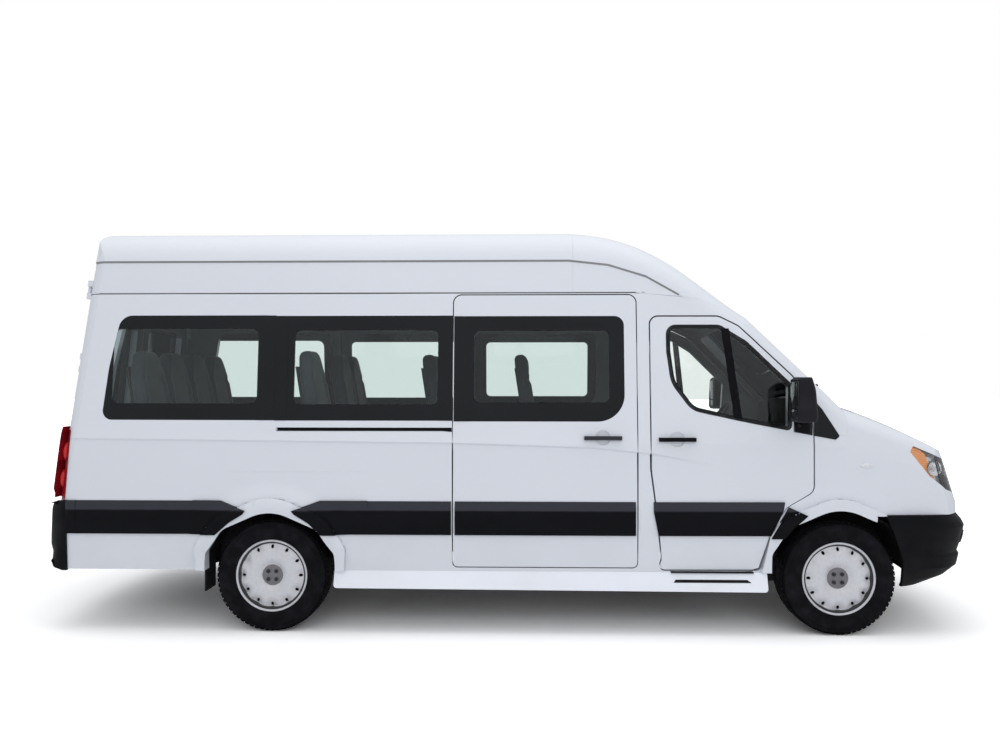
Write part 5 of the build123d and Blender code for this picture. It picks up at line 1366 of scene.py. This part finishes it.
# The holes round a cover, longer outwards than round it; the wheel nuts; the tread's blocks.
HOLE_RADIUS, HOLE_STRETCH, HOLE_RING = 0.0095, 1.35, 0.182
NUT_COUNT, NUT_RING, NUT_Y = 4, 0.036, 0.0935
BLOCK_RING, BLOCK_Y = 0.3505, 0.083
HUB_RADIUS = 0.066
RING = {}


def ring_tree():
    """Geometry nodes: the base mesh repeated round a circle about Y, turned to face outwards."""
    tree = bpy.data.node_groups.new("ring_of_pieces", "GeometryNodeTree")
    ports = {}
    for label, kind, start in (("Piece", "Geometry", None), ("Count", "Int", 12), ("Radius", "Float", 0.1),
                               ("Finish", "Material", None)):
        port = tree.interface.new_socket(name=label, in_out="INPUT", socket_type=f"NodeSocket{kind}")
        if start is not None:
            port.default_value = start
        ports[label] = port.identifier
    tree.interface.new_socket(name="Geometry", in_out="OUTPUT", socket_type="NodeSocketGeometry")
    entry, leave, circle, copies, spot, facing, solid, upright, cover = (tree.nodes.new(kind) for kind in (
        "NodeGroupInput", "NodeGroupOutput", "GeometryNodeMeshCircle", "GeometryNodeInstanceOnPoints",
        "GeometryNodeInputPosition", "FunctionNodeAlignRotationToVector", "GeometryNodeRealizeInstances",
        "GeometryNodeTransform", "GeometryNodeSetMaterial"))
    facing.axis = "X"
    upright.inputs["Rotation"].default_value = (math.radians(90.0), 0.0, 0.0)
    for source, output, target, socket in (
            (entry, "Count", circle, "Vertices"), (entry, "Radius", circle, "Radius"),
            (circle, 0, copies, "Points"), (entry, "Piece", copies, "Instance"), (spot, 0, facing, "Vector"),
            (facing, 0, copies, "Rotation"), (copies, 0, solid, 0), (solid, 0, upright, "Geometry"),
            (upright, 0, cover, "Geometry"), (entry, "Finish", cover, "Material"), (cover, 0, leave, 0)):
        tree.links.new(source.outputs[output], target.inputs[socket])
    return tree, ports


def linked(name, mesh):
    """A helper object in the scene."""
    made = bpy.data.objects.new(name, mesh)
    bpy.context.scene.collection.objects.link(made)
    return made


def worked_out(owner, *helpers):
    """The mesh that an object's modifiers give; the object and its helpers go."""
    graph = bpy.context.evaluated_depsgraph_get()
    mesh = bpy.data.meshes.new_from_object(owner.evaluated_get(graph))
    for spent in (owner, *helpers):
        bpy.data.objects.remove(spent, do_unlink=True)
    return mesh


def ring_mesh(name, bm, count, radius, key):
    """A shape repeated round a circle about Y. It is drawn with X outwards and Z along -Y."""
    if not RING:
        RING["tree"], RING["ports"] = ring_tree()
    base = linked(name, bpy.data.meshes.new(name))
    bm.to_mesh(base.data)
    bm.free()
    repeat = base.modifiers.new("ring", "NODES")
    repeat.node_group = RING["tree"]
    for label, value in (("Count", count), ("Radius", radius), ("Finish", finish(key))):
        repeat[RING["ports"][label]] = value
    return soften(worked_out(base))


def cone(bm, segments, foot, top, depth):
    return bmesh.ops.create_cone(bm, cap_ends=True, segments=segments, radius1=foot, radius2=top, depth=depth)


def cover_mesh():
    """A wheel cover: domed disc with scalloped edge and a ring of holes cut through it."""
    bm = lathe(COVER_PROFILE, 144, closed=False)
    count = sizes().cover_holes
    for vert in bm.verts:
        radius = math.hypot(vert.co.x, vert.co.z)
        if 0.140 < radius < 0.212:
            wave = math.cos(count * math.atan2(vert.co.z, vert.co.x))
            rise, fall = smooth_step(0.140, 0.178, radius), smooth_step(0.200, 0.212, radius)
            vert.co.y -= 0.0060 * wave * rise * (1 - fall)
    punch = bmesh.new()
    for k in range(count):
        turn = Matrix.Rotation(2 * math.pi * k / count, 4, "Y")
        for vert in cone(punch, 16, HOLE_RADIUS, HOLE_RADIUS, 0.08)["verts"]:
            x, y, z = vert.co
            vert.co = turn @ Vector((HOLE_RING + y * HOLE_STRETCH, z + 0.09, x))
    bmesh.ops.recalc_face_normals(punch, faces=punch.faces)
    cover = linked("cover_blank", from_bmesh("cover_blank", bm))
    cutter = linked("cover_punch", from_bmesh("cover_punch", punch))
    cut = cover.modifiers.new("holes", "BOOLEAN")
    cut.object, cut.operation, cut.solver = cutter, "DIFFERENCE", "EXACT"
    mesh = soften(worked_out(cover, cutter), 38.0)
    for face in mesh.polygons:
        face.material_index = int(math.hypot(face.center.x, face.center.z) < HUB_RADIUS)
    return mesh


def moved(mesh, matrix):
    copy = mesh.copy()
    copy.transform(matrix)
    return copy


class MINIBUS_OT_wheels(bpy.types.Operator):
    """Wheel covers, wheel nuts, rims and tyres"""
    bl_idname = "minibus.wheels"
    bl_label = "Wheels"

    def execute(self, context):
        cover = cover_mesh()
        rim = from_bmesh("rim", lathe(RIM_PROFILE, 72))
        tyre = from_bmesh("tyre", lathe(TYRE_PROFILE, 120), 28.0)
        nut = bmesh.new()
        cone(nut, 6, 0.0130, 0.0115, 0.012)
        nuts = ring_mesh("nut", nut, NUT_COUNT, NUT_RING, "nut")
        block = boxes(((-0.003, -0.0125, -0.018), (0.0045, 0.0125, 0.018), 0.0))
        for vert in block.verts:
            if vert.co.x > 0:
                vert.co.x -= 0.0045 * smooth_step(-0.018, 0.018, -vert.co.z)
        blocks = ring_mesh("tread_block", block, sizes().tread_blocks, BLOCK_RING, "rubber")
        nuts_place = Matrix.Translation(Y * NUT_Y) @ Matrix.Rotation(math.pi / 4.0, 4, "Y")
        rows = {"inner": Matrix.Translation(Y * -BLOCK_Y) @ Matrix.Rotation(math.pi, 4, "Z"),
                "outer": Matrix.Translation(Y * BLOCK_Y)}
        for end in AXLES:
            for side in SIDES:
                name, place = f"{end}_{side}", wheel_matrix(end, side)
                body = f"wheel_{name}"
                placed(f"wheel_rim_{name}", moved(rim, place), body, "rim", f"rim_{name}")
                placed(f"tyre_body_{name}", moved(tyre, place), body, "rubber", f"tyre_{name}")
                placed(f"wheel_cover_{name}", moved(cover, place), body, ["cover", "hub"])
                placed(f"wheel_nuts_{name}", moved(nuts, place @ nuts_place), body, "nut")
                for row, stand in rows.items():
                    placed(f"tread_{row}_{name}", moved(blocks, place @ stand), body, "rubber")
        return {"FINISHED"}


# ---------------- stage
FLOOR_HALF = 60.0
# Each light: place, what it points at, width and depth, power.
LIGHTS = {
    "overhead": ((0.0, -0.6, 7.5), (0.0, 0.0, 0.0), (10.0, 5.0), 185.0),
    "near_side": ((1.0, -9.5, 4.5), (0.0, 0.0, 1.0), (9.0, 4.0), 190.0),
}
CAMERA_PLACE = (0.107, -6.523, 1.612)
CAMERA_TURN = 1.5
FOCAL_LENGTH = 31.68


def add_floor():
    """A pale floor for light and shadow, that fades to plain white in the camera's view."""
    bm = bmesh.new()
    bmesh.ops.create_grid(bm, x_segments=2, y_segments=2, size=FLOOR_HALF)
    floor = linked("studio_floor", from_bmesh("studio_floor", bm))
    s = Shader("studio_floor")
    x, y, _ = s.axes()
    away = s.math("SQRT", s.math("ADD", s.math("MULTIPLY", x, x), s.math("MULTIPLY", y, y)))
    tone = s.mix(s.seen(), (0.75, 0.755, 0.77), s.span(away, 4.0, 11.0, 1.34, 2.3))
    floor.data.materials.append(s.done(s.add("ShaderNodeBsdfDiffuse", {"Color": tone}).outputs[0]))


def add_world(scene):
    """White to the camera; to all else a soft glow, stronger from above."""
    s = Shader("studio_world", bpy.data.worlds)
    scene.world = s.owner
    height = s.axes(s.places["Generated"])[2]
    strength = s.span(height, -0.1, 1.0, 0.57, 0.84)
    glow = s.add("ShaderNodeBackground", {"Color": (0.965, 0.98, 1.0), "Strength": strength}).outputs[0]
    plain = s.add("ShaderNodeBackground", {"Color": (1.0, 1.0, 1.0)}).outputs[0]
    s.done(s.blend(s.seen(), glow, plain), "ShaderNodeOutputWorld")


class MINIBUS_OT_stage(bpy.types.Operator):
    """White floor and surroundings, soft light and the camera"""
    bl_idname = "minibus.stage"
    bl_label = "Stage, light and camera"

    def execute(self, context):
        scene = context.scene
        add_floor()
        add_world(scene)
        for name, (place, target, size, power) in LIGHTS.items():
            lamp = bpy.data.lights.new(name, "AREA")
            lamp.shape, lamp.energy = "RECTANGLE", power
            lamp.size, lamp.size_y = size
            holder = linked(name, lamp)
            holder.location = place
            holder.rotation_mode = "QUATERNION"
            holder.rotation_quaternion = (Vector(target) - Vector(place)).to_track_quat("-Z", "Y")
            holder.visible_camera = holder.visible_glossy = False

        lens = bpy.data.cameras.new("view")
        lens.sensor_width, lens.lens, lens.shift_y, lens.clip_end = 36.0, FOCAL_LENGTH, 0.0045, 300.0
        camera = linked("view", lens)
        camera.location = CAMERA_PLACE
        camera.rotation_euler = (math.radians(90.0), 0.0, math.radians(CAMERA_TURN))
        scene.camera = camera
        scene.view_settings.view_transform = "Standard"
        return {"FINISHED"}


# ---------------- add-on
OPERATORS = [
    MINIBUS_OT_stage, MINIBUS_OT_finishes, MINIBUS_OT_panels, MINIBUS_OT_glass, MINIBUS_OT_rear_fittings,
    MINIBUS_OT_trim, MINIBUS_OT_side_details, MINIBUS_OT_cab_doors, MINIBUS_OT_lamps, MINIBUS_OT_seats,
    MINIBUS_OT_wheels,
]


class MINIBUS_PT_panel(bpy.types.Panel):
    """Lists the minibus operators and settings"""
    bl_idname = "MINIBUS_PT_panel"
    bl_label = "Minibus"
    bl_space_type = "VIEW_3D"
    bl_region_type = "UI"
    bl_category = "Minibus"

    def draw(self, context):
        for operator in OPERATORS:
            self.layout.operator(operator.bl_idname)
        for group in (context.scene.minibus_colours, context.scene.minibus_sizes):
            for key in group.bl_rna.properties.keys():
                if key not in {"rna_type", "name"}:
                    self.layout.prop(group, key)


CLASSES = [MinibusColours, MinibusSizes, *OPERATORS, MINIBUS_PT_panel]


def register():
    for cls in CLASSES:
        bpy.utils.register_class(cls)
    bpy.types.Scene.minibus_colours = PointerProperty(type=MinibusColours)
    bpy.types.Scene.minibus_sizes = PointerProperty(type=MinibusSizes)


def unregister():
    del bpy.types.Scene.minibus_colours
    del bpy.types.Scene.minibus_sizes
    for cls in reversed(CLASSES):
        bpy.utils.unregister_class(cls)


def main():
    register()
    for operator in OPERATORS:
        group, name = operator.bl_idname.split(".")
        getattr(getattr(bpy.ops, group), name)()


if __name__ == "__main__":
    main()
